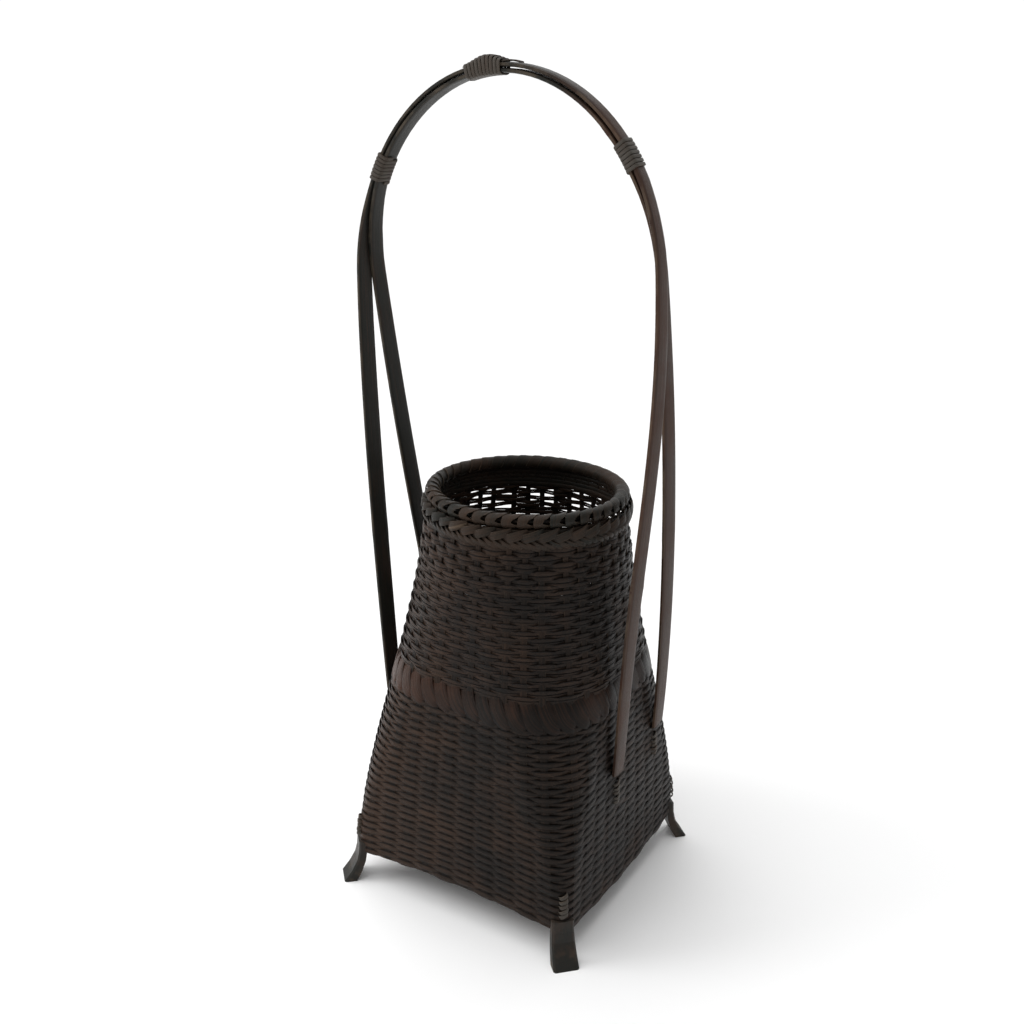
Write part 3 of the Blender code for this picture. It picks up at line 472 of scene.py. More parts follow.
class Finish:
    """A material under construction."""

    def __init__(self, name):
        if name in bpy.data.materials:
            raise RuntimeError("A material is already named " + name)
        self.material = bpy.data.materials.new(name)
        self.material.use_nodes = True
        self.tree = self.material.node_tree
        self.surface = self.tree.nodes["Principled BSDF"]

    def node(self, kind, settings, sockets, output=0):
        """Adds a node of a type, with its settings and then its sockets."""
        made = self.tree.nodes.new(kind)
        for key, value in settings.items():
            setattr(made, key, value)
        for key, value in sockets.items():
            self.feed(made.inputs[key], value)
        return Value(self, made.outputs[output])

    def feed(self, socket, value):
        """Links a value to a socket, or sets it there."""
        if isinstance(value, Value):
            self.tree.links.new(value.socket, socket)
        else:
            socket.default_value = value

    def mix(self, factor, a, b):
        """One colour turning into another."""
        tints = [tint if isinstance(tint, Value) else (*tint, 1.0) for tint in (a, b)]
        return self.node("ShaderNodeMix", {"data_type": "RGBA"}, {0: factor, 6: tints[0], 7: tints[1]}, 2)

    def noise(self, vector, scale, detail=3.0, roughness=0.55):
        """Noise between 0 and 1."""
        return self.node("ShaderNodeTexNoise", {}, {"Vector": vector, "Scale": scale,
                                                    "Detail": detail, "Roughness": roughness})

    def stretched(self, vector, scale):
        """A vector scaled along each axis."""
        return self.node("ShaderNodeVectorMath", {"operation": "MULTIPLY"}, {0: vector, 1: scale})

    def shift(self, vector, by):
        """A vector moved along."""
        return self.node("ShaderNodeVectorMath", {"operation": "ADD"}, {0: vector, 1: by})

    def part(self, vector, name):
        """One number of a vector."""
        index = "XYZ".index(name)
        return self.node("ShaderNodeSeparateXYZ", {}, {0: vector}, index)

    def place(self):
        """The point on the piece, in object coordinates."""
        return self.node("ShaderNodeTexCoord", {}, {}, 3)

    def strand(self):
        """Along the strand, across it, and its own tone."""
        return self.node("ShaderNodeAttribute", {"attribute_name": "strand"}, {}, 1)

    def relief(self, height, distance, strength):
        """Turns a height into a bump."""
        return self.node("ShaderNodeBump", {}, {"Strength": strength, "Distance": distance,
                                                "Height": height})

    def done(self, body, roughness, normal, shine=0.2):
        """Feeds the surface."""
        for name, value in (("Base Color", body), ("Roughness", roughness), ("Normal", normal),
                            ("Specular IOR Level", shine)):
            self.feed(self.surface.inputs[name], value)


# How often the fibres and streaks change along a strand, across it and from tone to tone
FIBRE_SCALE = (45.0, 2600.0, 71.0)
STREAK_SCALE = (22.0, 1050.0, 33.0)
# How often the fibres of thick bamboo change along X, Y and Z
CULM_FIBRE_SCALE = (900.0, 900.0, 38.0)
PATCH_SCALE = 26.0
SPOT_SCALE = 190.0
SPOT_SHIFT = (3.0, 1.0, 2.0)
SCUFF_SCALE = 60.0

# Values of a noise, a tone, an edge or a place between which each effect sets in
WARM_PATCH = (0.42, 0.68)
WARM_FROM_RIGHT = (MIDDLE_X + 0.03, MIDDLE_X - 0.07)
WARM_FROM_LEFT = (MIDDLE_X - 0.02, MIDDLE_X + 0.07)
RUBBED_FIBRE = (0.50, 0.72)
WORN_SPOT = (0.70, 0.78)
WORN_SPOT_FIBRE = (0.55, 0.66)
# Painted shade darkens a strand's edges between these values
SHADED_EDGE = (0.42, 0.86)
# Worn edges with a painted highlight pale between these values
EDGE_WEAR_AND_HIGHLIGHT = (0.84, 0.97)
EDGE_WEAR_AND_HIGHLIGHT_FIBRE = (0.42, 0.60)
PALE_TONE = (0.985, 0.995)
PALE_STREAK = (0.46, 0.60)
ROUGH_PATCH = (0.45, 0.75)
CULM_PATCH = (0.40, 0.70)
CULM_SCUFF = (0.45, 0.62)
CULM_FOOT = (0.012, 0.001)

# How much each effect does to the colour or the roughness
TONE_WARMTH = 0.35
STREAK_WARMTH = 1.3
SPOT_SHARE = 0.55
# How far the worn edges with their painted highlight turn pale
EDGE_WEAR_AND_HIGHLIGHT_SHARE = 0.30
PALE_SHARE = 0.75
FIBRE_ROUGHNESS = 0.22
PATCH_ROUGHNESS = 0.14
CULM_WEAR = 0.6
CULM_SCUFF_SHARE = 0.35
CULM_GLOSS = 0.40
CULM_FIBRE_ROUGHNESS = 0.25
CULM_FOOT_ROUGHNESS = 0.15

# Shares of the fibres and streaks in the relief, its height and its strength
RELIEF_SHARES = (0.55, 0.45)
RELIEF_HEIGHT = 0.0005
RELIEF_STRENGTH = 0.8
CULM_RELIEF_HEIGHT = 0.0003
CULM_RELIEF_STRENGTH = 0.6


def bamboo(name, base, worn, rub=0.35, fibres=1.0, gloss=0.40, warm_left=0.0, warm_right=0.0,
           shine=0.11, cloud=0.45, lean=-0.08, edge_shade=0.0):
    """Lacquered split bamboo: fibres along the strand, rubbed patches, and edges either darkened as painted
    shade or paled as wear with a painted highlight.
    """
    finish = Finish(name)
    tints = bpy.context.scene.basket_finish
    brown, pale, painted_shade = tuple(tints.brown), tuple(tints.pale), tuple(tints.painted_shade)
    strand = finish.strand()
    place = finish.place()
    tone = finish.part(strand, "Z")
    fine = finish.noise(finish.stretched(strand, FIBRE_SCALE), 1.0, 4.0, 0.6)
    broad = finish.noise(finish.stretched(strand, STREAK_SCALE), 1.0, 2.0)
    patch = finish.noise(place, PATCH_SCALE, 4.0, 0.6)
    spot = finish.noise(finish.shift(place, SPOT_SHIFT), SPOT_SCALE, 3.0, 0.6)
    warm = patch.step(*WARM_PATCH) * cloud + tone * TONE_WARMTH + lean
    side = finish.part(place, "X")
    if warm_left:
        warm = warm + side.step(*WARM_FROM_RIGHT) * warm_left
    if warm_right:
        warm = warm + side.step(*WARM_FROM_LEFT) * warm_right
    body = finish.mix((warm + (broad - 0.5) * STREAK_WARMTH).limited(), base, worn)
    body = finish.mix((fine.step(*RUBBED_FIBRE) * rub).limited(), body, brown)
    worn_spot = spot.step(*WORN_SPOT) * fine.step(*WORN_SPOT_FIBRE)
    body = finish.mix((worn_spot * SPOT_SHARE).limited(), body, pale)
    edge = finish.node("ShaderNodeAttribute", {"attribute_name": "border"}, {}, 2)
    # Painted shade: the strands' edges turn near black, where shadow falls between rows and strips
    if edge_shade:
        body = finish.mix((edge.step(*SHADED_EDGE) * edge_shade).limited(), body, painted_shade)
    else:
        # Worn edges and painted highlight: the strips' edges turn pale, broken by the fibres
        edge_wear_and_highlight = edge.step(*EDGE_WEAR_AND_HIGHLIGHT) * fine.step(*EDGE_WEAR_AND_HIGHLIGHT_FIBRE)
        body = finish.mix((edge_wear_and_highlight * EDGE_WEAR_AND_HIGHLIGHT_SHARE).limited(), body, pale)
    pale_strand = tone.step(*PALE_TONE) * broad.step(*PALE_STREAK)
    body = finish.mix((pale_strand * PALE_SHARE).limited(), body, pale)
    roughness = (gloss + (fine - 0.5) * FIBRE_ROUGHNESS
                 + patch.step(*ROUGH_PATCH) * PATCH_ROUGHNESS).limited()
    height = fine * RELIEF_SHARES[0] + broad * RELIEF_SHARES[1]
    normal = finish.relief(height, RELIEF_HEIGHT * fibres, RELIEF_STRENGTH)
    finish.done(body, roughness, normal, shine)


def culm_bamboo(name, base, worn):
    """Thick bamboo: fibres up its height and scuffed lower ends."""
    finish = Finish(name)
    place = finish.place()
    fine = finish.noise(finish.stretched(place, CULM_FIBRE_SCALE), 1.0, 4.0, 0.6)
    patch = finish.noise(place, SCUFF_SCALE, 3.0, 0.6)
    low = finish.part(place, "Z").step(*CULM_FOOT)
    wear = patch.step(*CULM_PATCH) * CULM_WEAR + (fine - 0.5) * CULM_WEAR
    body = finish.mix(wear.limited(), base, worn)
    scuffed = low * patch.step(*CULM_SCUFF) * CULM_SCUFF_SHARE
    body = finish.mix(scuffed.limited(), body, tuple(bpy.context.scene.basket_finish.pale))
    roughness = (CULM_GLOSS + (fine - 0.5) * CULM_FIBRE_ROUGHNESS
                 + low * CULM_FOOT_ROUGHNESS).limited()
    finish.done(body, roughness, finish.relief(fine, CULM_RELIEF_HEIGHT, CULM_RELIEF_STRENGTH))


# Operators

SENSOR_WIDTH = 36.0
CAMERA_SHIFT = (-0.0142, 0.0240)
CAMERA_PLACE = Vector((MIDDLE_X + 0.34661, MIDDLE_Y - 0.59106, FLOOR_LEVEL + 0.49960))
LIGHTS = (("key", "AREA", (-1.35, -0.85, 1.0)),
          ("fill", "AREA", (1.5, 0.2, 1.1)),
          ("overhead", "SUN", (-0.55, -0.25, 2.0)))
LIGHT_AIM = Vector((MIDDLE_X, MIDDLE_Y, 0.2))
LAMP_SIZE = 0.8
SUN_ANGLE = math.radians(70)
BACKDROP_FADE = (0.30, 0.86)
FLOOR_RADIUS = 30.0
FLOOR_TINTS = ((0.955, 0.955, 0.955), (0.97, 0.97, 0.97))


class BASKET_OT_stage(bpy.types.Operator):
    """Set up the camera, the soft lights and the pale floor"""
    bl_idname = "basket.stage"
    bl_label = "Stage"

    def execute(self, context):
        stage = context.scene.basket_stage
        self.add_camera(context, stage)
        self.add_surroundings(context, stage)
        self.add_lights(context, stage)
        self.add_floor(context)
        return {"FINISHED"}

    def add_camera(self, context, stage):
        context.scene.view_settings.view_transform = "Standard"
        data = bpy.data.cameras.new("camera")
        data.lens = stage.lens
        data.sensor_width = SENSOR_WIDTH
        data.shift_x, data.shift_y = CAMERA_SHIFT
        camera = bpy.data.objects.new("camera", data)
        context.scene.collection.objects.link(camera)
        level = Vector((math.cos(stage.azimuth), math.sin(stage.azimuth), 0.0))
        ahead = Vector((-math.sin(stage.azimuth), math.cos(stage.azimuth), 0.0))
        forward = ahead * math.cos(stage.pitch) - Vector((0.0, 0.0, math.sin(stage.pitch)))
        up = level.cross(forward)
        right = level * math.cos(stage.roll) + up * math.sin(stage.roll)
        up = right.cross(forward)
        turn = Matrix((right, up, -forward)).transposed().to_4x4()
        camera.matrix_world = Matrix.Translation(CAMERA_PLACE) @ turn
        context.scene.camera = camera

    def add_surroundings(self, context, stage):
        """A white backdrop ahead of the camera, and a dimmer room behind it."""
        world = bpy.data.worlds.new("surroundings")
        world.use_nodes = True
        nodes, links = world.node_tree.nodes, world.node_tree.links
        background = nodes["Background"]
        background.inputs["Color"].default_value = (1.0, 1.0, 1.0, 1.0)
        direction = nodes.new("ShaderNodeTexCoord")
        facing = nodes.new("ShaderNodeVectorMath")
        facing.operation = "DOT_PRODUCT"
        facing.inputs[1].default_value = (-math.sin(stage.azimuth), math.cos(stage.azimuth), 0.0)
        fade = nodes.new("ShaderNodeMapRange")
        fade.interpolation_type = "SMOOTHSTEP"
        names = ("From Min", "From Max", "To Min", "To Max")
        for name, value in zip(names, (*BACKDROP_FADE, stage.room, stage.sky)):
            fade.inputs[name].default_value = value
        links.new(direction.outputs["Generated"], facing.inputs[0])
        links.new(facing.outputs["Value"], fade.inputs["Value"])
        links.new(fade.outputs[0], background.inputs["Strength"])
        context.scene.world = world

    def add_lights(self, context, stage):
        for name, kind, place in LIGHTS:
            light = bpy.data.lights.new(name, kind)
            light.energy = getattr(stage, name)
            if kind == "SUN":
                light.angle = SUN_ANGLE
            else:
                light.shape = "DISK"
                light.size = LAMP_SIZE
            lamp = bpy.data.objects.new(name, light)
            context.scene.collection.objects.link(lamp)
            lamp.location = place
            lamp.rotation_euler = (LIGHT_AIM - lamp.location).to_track_quat("-Z", "Y").to_euler()

    def add_floor(self, context):
        bm = bmesh.new()
        bmesh.ops.create_circle(bm, cap_ends=True, segments=96, radius=FLOOR_RADIUS)
        for v in bm.verts:
            v.co.z = FLOOR_LEVEL
        mesh = bpy.data.meshes.new("floor")
        bm.to_mesh(mesh)
        bm.free()
        finish = Finish("pale_floor")
        tint = finish.mix(finish.noise(finish.place(), 6.0), *FLOOR_TINTS)
        finish.feed(finish.surface.inputs["Base Color"], tint)
        finish.surface.inputs["Roughness"].default_value = 0.9
        mesh.materials.append(finish.material)
        floor = bpy.data.objects.new("floor", mesh)
        context.scene.collection.objects.link(floor)


class BASKET_OT_finishes(bpy.types.Operator):
    """Make the bamboo and cane finishes, and give them to the solids that stay"""
    bl_idname = "basket.finishes"
    bl_label = "Finishes"

    def execute(self, context):
        tints = context.scene.basket_finish
        dark, red, brown = tuple(tints.dark), tuple(tints.red), tuple(tints.brown)
        charcoal, cane = tuple(tints.charcoal), tuple(tints.cane)
        # The woven and band finishes paint shade along their strands' edges
        bamboo("woven_lacquer", dark, brown, rub=0.34, warm_left=0.65, edge_shade=0.9)
        bamboo("band_lacquer", dark, red, rub=0.3, warm_left=0.75, gloss=0.36, fibres=0.8, cloud=0.3,
               edge_shade=0.25)
        bamboo("stake_lacquer", dark, brown, rub=0.2, gloss=0.5)
        bamboo("rim_lacquer", charcoal, brown, rub=0.45, fibres=0.9)
        bamboo("handle_lacquer", charcoal, red, rub=0.22, gloss=0.38, fibres=0.6, warm_right=0.8,
               shine=0.16, cloud=0.2, lean=-0.25)
        bamboo("cane_binding", cane, brown, rub=0.4, gloss=0.42, fibres=0.8)
        culm_bamboo("foot_culm", charcoal, brown)
        culm_bamboo("plain_lacquer", dark, brown)
        kept = {"foot_culm": ("foot_front", "foot_right", "foot_back", "foot_left"),
                "plain_lacquer": ("base_splint_over", "base_splint_under", "rim_core")}
        for name, nodes in kept.items():
            for node in nodes:
                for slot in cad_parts[node].material_slots:
                    slot.material = bpy.data.materials[name]
        return {"FINISHED"}


STAKE_LEVELS = 36
STAKE_ENDS = (LOWER[0][2] + 0.0006, UPPER[1][2] + 0.0016)
STAKE_ARCH_FADE = 5


class BASKET_OT_stakes(bpy.types.Operator):
    """Stand the forty upright stakes round the body"""
    bl_idname = "basket.stakes"
    bl_label = "Stakes"

    def execute(self, context):
        weave = context.scene.basket_weave
        chance = random.Random(weave.seed)
        piece = Piece("stakes")
        low, high = STAKE_ENDS
        for number in range(STAKES):
            cell = stake_cell(number)
            tone = chance.random() * 0.6
            stations = []
            for k in range(STAKE_LEVELS + 1):
                t = k / STAKE_LEVELS
                rise = bottom_bend(cell) * (1 - smooth(t * STAKE_ARCH_FADE))
                wall = Wall(low + (high - low) * t)
                middle = wall.point(cell, weave.stake_depth, rise)
                ends = [wall.point(cell + side, weave.stake_depth) for side in (-0.1, 0.1)]
                across = (ends[1] - ends[0]).normalized()
                outward = across.cross(Vector((0, 0, 1)))
                width = weave.stake_width_low * (1 - t) + weave.stake_width_high * t
                stations.append((middle, across, outward, width / 2, weave.stake_thickness / 2))
            piece.bar(stations, tone=tone)
        piece.finish("stake_lacquer", "stake_bamboo", "upright_stakes")
        return {"FINISHED"}


# Shares of a weft's slip along its row, its swelling, the length of a float and its turn inwards,
# and how fast the bottom edge's bend fades upwards
SLIP_SHARE = 0.07
SWELL_SHARE = 0.07
FLOAT_SHARE = 0.70
REACH_SHARE = 0.85
ARCH_FADE = 1.6
DRIFT_DEPTH_SHARE = 0.3


class WeftRows:
    """Places the vertices of one run of weft rows, over one stake and under the next."""

    def __init__(self, heights, strands, half_float, half_gap, thickness, seed, first=0, relief=1.0):
        self.weave = bpy.context.scene.basket_weave
        self.heights = heights
        self.strands = strands
        self.half_float = half_float
        self.half_gap = half_gap
        self.half_thickness = thickness / 2
        self.first = first
        chance = random.Random(seed)
        rows = len(heights) * strands
        self.tones = [chance.random() for _ in range(rows)]
        self.drift = [[chance.uniform(-1, 1) for _ in range(STAKES)] for _ in range(rows)]
        self.swell = [[chance.uniform(-1, 1) for _ in range(STAKES)] for _ in range(rows)]
        self.slip = [[chance.uniform(-1, 1) for _ in range(STAKES)] for _ in range(rows)]
        self.walls = [Wall(height) for height in heights]
        self.reach = (self.weave.stake_thickness / 2 + self.half_thickness) * relief
        self.low, self.high = LOWER[0][2], BAND[0][2]
        self.stations = {}

    def between(self, values, count):
        """A value for each stake, eased from one stake to the next."""
        left = int(math.floor(count)) % STAKES
        turn = smooth(count - math.floor(count))
        return values[left] * (1 - turn) + values[(left + 1) % STAKES] * turn

    def half_height(self, ring, cell, count, flat):
        """Half the strand's height: full on a float, narrow where the wefts change sides."""
        half = self.half_gap + (self.half_float - self.half_gap) * flat
        return half * (1 + SWELL_SHARE * self.between(self.swell[ring], count))

    def station(self, ring, step):
        """Middle, outward direction, half height and tone of a strand at a step round the body."""
        group, strand = divmod(ring, self.strands)
        wall, cell = self.walls[group], step / STEPS_PER_CELL
        count = stake_count(cell)
        slip = SLIP_SHARE * self.between(self.slip[ring], count)
        over = math.cos(math.pi * (count + slip + self.first + group))
        flat = smooth(abs(over) / FLOAT_SHARE)
        drift = self.between(self.drift[ring], count) * self.weave.unevenness
        half = self.half_height(ring, cell, count, flat)
        offset = (strand - (self.strands - 1) / 2) * 2 * half
        side = math.copysign(min(abs(over) / REACH_SHARE, 1.0), over)
        depth = self.weave.stake_depth - side * self.reach + drift * DRIFT_DEPTH_SHARE
        fade = 1 - smooth((self.heights[group] - self.low) / (self.high - self.low) * ARCH_FADE)
        middle = wall.point(cell, depth, offset + drift + bottom_bend(cell) * fade)
        outward = Vector((*wall.place(cell)[2:], 0.0))
        swell = self.between(self.swell[ring], count)
        tone = min(max(self.tones[ring] * 0.6 + 0.2 + 0.25 * swell, 0.0), 0.97)
        return middle, outward, half, tone, count / STAKES_PER_SIDE * wall.length

    def place(self, ring, step, across, up):
        """Where one vertex of a strand's section goes, and its strand pattern."""
        key = (ring, step)
        if key not in self.stations:
            self.stations[key] = self.station(ring, step)
        middle, outward, half, tone, along = self.stations[key]
        point = middle + outward * (squared(across, 0.5) * self.half_thickness)
        point.z += squared(up, 0.62) * half
        return point, Vector((along, up * half, tone))


# Where the wall loosens towards the back, and how a float's swelling closes an opening
LOOSE_FROM = 0.004
LOOSE_DEPTH = 0.036
CLOSED_FROM = 0.45
CLOSED_RANGE = 0.25
TIGHT_SWELL = 0.33


class OpenRows(WeftRows):
    """Rows of paired fine wefts that leave openings round the back."""

    def __init__(self, *args):
        super().__init__(*args)
        self.drift = [self.drift[ring - ring % self.strands] for ring in range(len(self.drift))]

    def half_height(self, ring, cell, count, flat):
        """Half the strand's height: closed in front, and behind as open as the float's own value."""
        group = ring // self.strands
        y = self.walls[group].place(cell)[1]
        swell = self.swell[group * self.strands]
        before, here, after = [0.5 + 0.5 * swell[(int(math.floor(count)) + n) % STAKES] for n in (-1, 0, 1)]
        turn = count - math.floor(count)
        value = here + (before - here) * max(0.5 - 2 * turn, 0) + (after - here) * max(2 * turn - 1.5, 0)
        closed = smooth((value - CLOSED_FROM) / CLOSED_RANGE)
        loose = self.half_gap + (self.half_float - self.half_gap) * closed
        tight = self.half_float * (1 + TIGHT_SWELL * flat)
        return tight + (loose - tight) * smooth((y - LOOSE_FROM) / LOOSE_DEPTH)


def even_levels(low, high, rows):
    """Middles of rows stacked from one height to another."""
    pitch = (high - low) / rows
    return [low + pitch * (row + 0.5) for row in range(rows)], pitch


# Half a strand's height as a share of the rows' pitch, on a float and where wefts change sides
LOWER_SHARES = (0.82, 0.64)
UPPER_SHARES = (0.36, 0.27)
OPEN_SHARES = (0.27, 0.165)
# Share of the full crossing depth, and how far rows reach past the level where they end
WALL_RELIEF_SHARE = 0.50
ROW_OVERLAP = 0.0004


def weave_wall(name, node, levels, pitch, strands, shares, thickness, seed):
    """Weaves a wall in two pieces, bottom and top, that stand for one node."""
    middle = len(levels) // 2
    for number, part in enumerate((levels[:middle], levels[middle:])):
        rows = WeftRows(part, strands, pitch * shares[0], pitch * shares[1], thickness,
                        seed + number, number * middle, WALL_RELIEF_SHARE)
        piece = Piece(name + ("_bottom", "_top")[number])
        piece.rings(len(part) * strands, 8, rows.place)
        piece.finish("woven_lacquer", "woven_bamboo", node)


class BASKET_OT_lower_wall(bpy.types.Operator):
    """Weave the lower wall of single wefts"""
    bl_idname = "basket.lower_wall"
    bl_label = "Lower wall"

    def execute(self, context):
        weave = context.scene.basket_weave
        levels, pitch = even_levels(LOWER[0][2], BAND[0][2] + ROW_OVERLAP, weave.lower_rows)
        weave_wall("lower_wefts", "lower_wall", levels, pitch, 1, LOWER_SHARES,
                   weave.weft_thickness, weave.seed + SEEDS["lower_wall"])
        return {"FINISHED"}


class BASKET_OT_upper_wall(bpy.types.Operator):
    """Weave the upper wall of fine wefts, with open rows under the rim"""
    bl_idname = "basket.upper_wall"
    bl_label = "Upper wall"

    def execute(self, context):
        weave = context.scene.basket_weave
        levels, pitch = even_levels(BAND[1][2] - ROW_OVERLAP, weave.open_from + 2 * ROW_OVERLAP,
                                    weave.upper_rows)
        weave_wall("upper_wefts", "upper_wall", levels, pitch, 2, UPPER_SHARES,
                   weave.fine_thickness, weave.seed + SEEDS["upper_wall"])
        levels, pitch = even_levels(weave.open_from, UPPER[1][2] + SEAT, weave.open_rows)
        rows = OpenRows(levels, 2, pitch * OPEN_SHARES[0], pitch * OPEN_SHARES[1],
                        weave.fine_thickness, weave.seed + SEEDS["open_rows"], weave.upper_rows)
        piece = Piece("open_wefts")
        piece.rings(len(levels) * 2, 6, rows.place)
        piece.finish("woven_lacquer", "woven_bamboo", "upper_wall")
        return {"FINISHED"}


# Plaits

# Along each strip of a plait: shares of the pitch round the body and of the row's height, lift in
# metres, share of the width, and tilt in degrees
BAND_STOPS = ((-0.52, 1.06, -0.0030, 0.90, 0), (-0.44, 0.92, -0.0013, 1.00, 0.6),
              (-0.32, 0.72, -0.0006, 1.00, 0.8), (-0.17, 0.52, -0.0004, 1.00, 0.8),
              (0.00, 0.35, -0.0004, 0.98, 0.8), (0.22, 0.21, -0.0004, 0.86, 0.4),
              (0.48, 0.11, -0.0006, 0.60, 0), (0.74, 0.10, -0.0020, 0.36, 0))
FINE_ROW_STOPS = ((-0.75, 1.08, -0.0024, 0.70, 0), (-0.50, 0.88, -0.0008, 1.00, 10),
                  (-0.16, 0.63, 0.0007, 1.00, 14), (0.20, 0.37, 0.0008, 1.00, 14),
                  (0.55, 0.12, -0.0004, 1.00, 10), (0.80, -0.10, -0.0022, 0.70, 0))
BROAD_ROW_STOPS = ((-0.90, -0.06, -0.0024, 0.60, 0), (-0.66, 0.08, -0.0010, 0.85, -6),
                   (-0.34, 0.30, 0.0007, 1.00, -10), (0.00, 0.50, 0.0013, 1.00, -11),
                   (0.34, 0.70, 0.0010, 0.95, -9), (0.64, 0.88, -0.0004, 0.75, -4),
                   (0.86, 1.00, -0.0020, 0.50, 0))
# Along each strip of the rim: degrees round the hoop, share of the pitch round the mouth, how far
# the strip has narrowed to its claw, lift in metres, and tilt in degrees
CURL_STOPS = ((236, 0.80, 0.0, 0.0, 9), (200, 0.62, 0.0, 0.0, 9), (168, 0.46, 0.0, 0.0, 9),
              (138, 0.30, 0.0, 0.0, 9), (112, 0.16, 0.0, 0.0, 9), (90, 0.03, 0.0, 0.0001, 9),
              (70, -0.08, 0.22, 0.0003, 8), (52, -0.15, 0.62, 0.0005, 5),
              (30, -0.21, 1.0, 0.0006, 2), (8, -0.25, 1.0, 0.0007, 0),
              (-12, -0.22, 1.0, 0.0006, 0), (-30, -0.08, 0.95, 0.0004, 0),
              (-48, 0.20, 0.85, 0.0, 0), (-62, 0.48, 0.7, -0.0006, 0))

# Lower and upper ends of the plaits and of the wefts behind them
BAND_ENDS = (BAND[0][2] - 0.0004, BAND[1][2] + 0.0006)
BAND_BACKING = (BAND[0][2], BAND[1][2] + 0.0002)
FINE_ROW_ENDS = (ROW_LOW[0][2] - 0.0004, ROW_LOW[1][2] + 0.0006)
BROAD_ROW_ENDS = (ROW_HIGH[0][2] - 0.0006, ROW_HIGH[1][2])
RIM_BACKING = (ROW_LOW[0][2] - 0.0020, ROW_HIGH[1][2] + 0.0002)

# Stations along a strip of each plait
BAND_STEPS = 15
FINE_ROW_STEPS = 11
BROAD_ROW_STEPS = 13
CURL_STEPS = 26

# How far strips differ in place and in width
STRIP_SHIFT = 0.0004
FINE_STRIP_WIDTH = 0.0029
FINE_STRIP_SPREAD = (0.85, 1.15)
BROAD_STRIP_WIDTH = 0.0052
BROAD_STRIP_SPREAD = (0.92, 1.10)
CURL_SHIFT = 0.06
CURL_OVERLAP = 1.12
CLAW_SPREAD = (0.92, 1.08)

# Tones of the strips: the lowest of the band, how far they go up, and the one pale strip's
BAND_TONE = 0.2
BAND_TONE_SPREAD = 0.4
BROAD_ROW_TONES = 0.96
RIM_TONES = 0.97
PALE_STRIP = 25
PALE_STRIP_TONE = 0.99

BACKING_ROWS = 5
BACKING_SHARE = 0.51
BACKING_THICKNESS = 0.0006
BACKING_DEPTH = 0.0009


def eased_route(stops, count):
    """More stations along a strip's route, on a smooth curve through its stops."""
    route = []
    for k in range(count):
        place = k / (count - 1) * (len(stops) - 1)
        i = min(int(place), len(stops) - 2)
        t = place - i
        near = [stops[min(max(i + n, 0), len(stops) - 1)] for n in (-1, 0, 1, 2)]
        route.append(tuple(0.5 * (2 * b + (c - a) * t + (2 * a - 5 * b + 4 * c - d) * t * t
                                  + (3 * b - a - 3 * c + d) * t ** 3) for a, b, c, d in zip(*near)))
    return route


def lay_plaited(piece, place, ends, shift, pitch, width, course, tone, **shape):
    """Lays one strip of a plait round the body, on a course of eased stops."""
    low, high = ends
    route = [((place + turn) * pitch, low + (high - low) * level + shift, lift, width * wide, tilt)
             for turn, level, lift, wide, tilt in course]
    piece.lay(WallFace(), route, bpy.context.scene.basket_plait.strip_thickness, tone, **shape)


def back_with_wefts(piece, ends, seed):
    """Lays plain wefts behind a plait, inside the stakes."""
    levels, pitch = even_levels(*ends, BACKING_ROWS)
    half = pitch * BACKING_SHARE
    rows = WeftRows(levels, 1, half, half, BACKING_THICKNESS, seed, relief=0.0)

    def place(ring, step, across, up):
        point, strand = rows.place(ring, step, across, up)
        return point - rows.stations[(ring, step)][1] * BACKING_DEPTH, strand

    piece.rings(BACKING_ROWS, 6, place)


class BASKET_OT_band(bpy.types.Operator):
    """Plait the broad band round the middle of the body"""
    bl_idname = "basket.band"
    bl_label = "Plaited band"

    def execute(self, context):
        plait = context.scene.basket_plait
        chance = random.Random(SEEDS["band"])
        piece = Piece("band_plait")
        course = eased_route(BAND_STOPS, BAND_STEPS)
        for number in range(plait.band_strips):
            shift = chance.uniform(-STRIP_SHIFT, STRIP_SHIFT)
            tone = BAND_TONE + chance.random() * BAND_TONE_SPREAD
            lay_plaited(piece, number, BAND_ENDS, shift, CELLS / plait.band_strips,
                        plait.band_strip_width, course, tone, crown=0.05, sides=12)
        back_with_wefts(piece, BAND_BACKING, SEEDS["band_back"])
        piece.finish("band_lacquer", "band_bamboo", "plaited_band")
        return {"FINISHED"}


class BASKET_OT_rim_rows(bpy.types.Operator):
    """Plait the two slanting rows under the rim"""
    bl_idname = "basket.rim_rows"
    bl_label = "Rim rows"

    def execute(self, context):
        strips = context.scene.basket_plait.rim_strips
        chance = random.Random(SEEDS["rim_rows"])
        fine = Piece("rim_fine_row")
        course = eased_route(FINE_ROW_STOPS, FINE_ROW_STEPS)
        for number in range(strips * 2):
            shift = chance.uniform(-STRIP_SHIFT, STRIP_SHIFT)
            width = FINE_STRIP_WIDTH * chance.uniform(*FINE_STRIP_SPREAD)
            lay_plaited(fine, number / 2, FINE_ROW_ENDS, shift, CELLS / strips, width, course,
                        chance.random() * RIM_TONES)
        fine.finish("rim_lacquer", "rim_bamboo", "rim_plait_lower")
        broad = Piece("rim_broad_row")
        course = eased_route(BROAD_ROW_STOPS, BROAD_ROW_STEPS)
        for number in range(strips):
            shift = chance.uniform(-STRIP_SHIFT, STRIP_SHIFT)
            tone = PALE_STRIP_TONE if number == PALE_STRIP else chance.random() * BROAD_ROW_TONES
            width = BROAD_STRIP_WIDTH * chance.uniform(*BROAD_STRIP_SPREAD)
            lay_plaited(broad, number, BROAD_ROW_ENDS, shift, CELLS / strips, width, course, tone)
        back_with_wefts(broad, RIM_BACKING, SEEDS["rim_back"])
        broad.finish("rim_lacquer", "rim_bamboo", "rim_plait_upper")
        return {"FINISHED"}


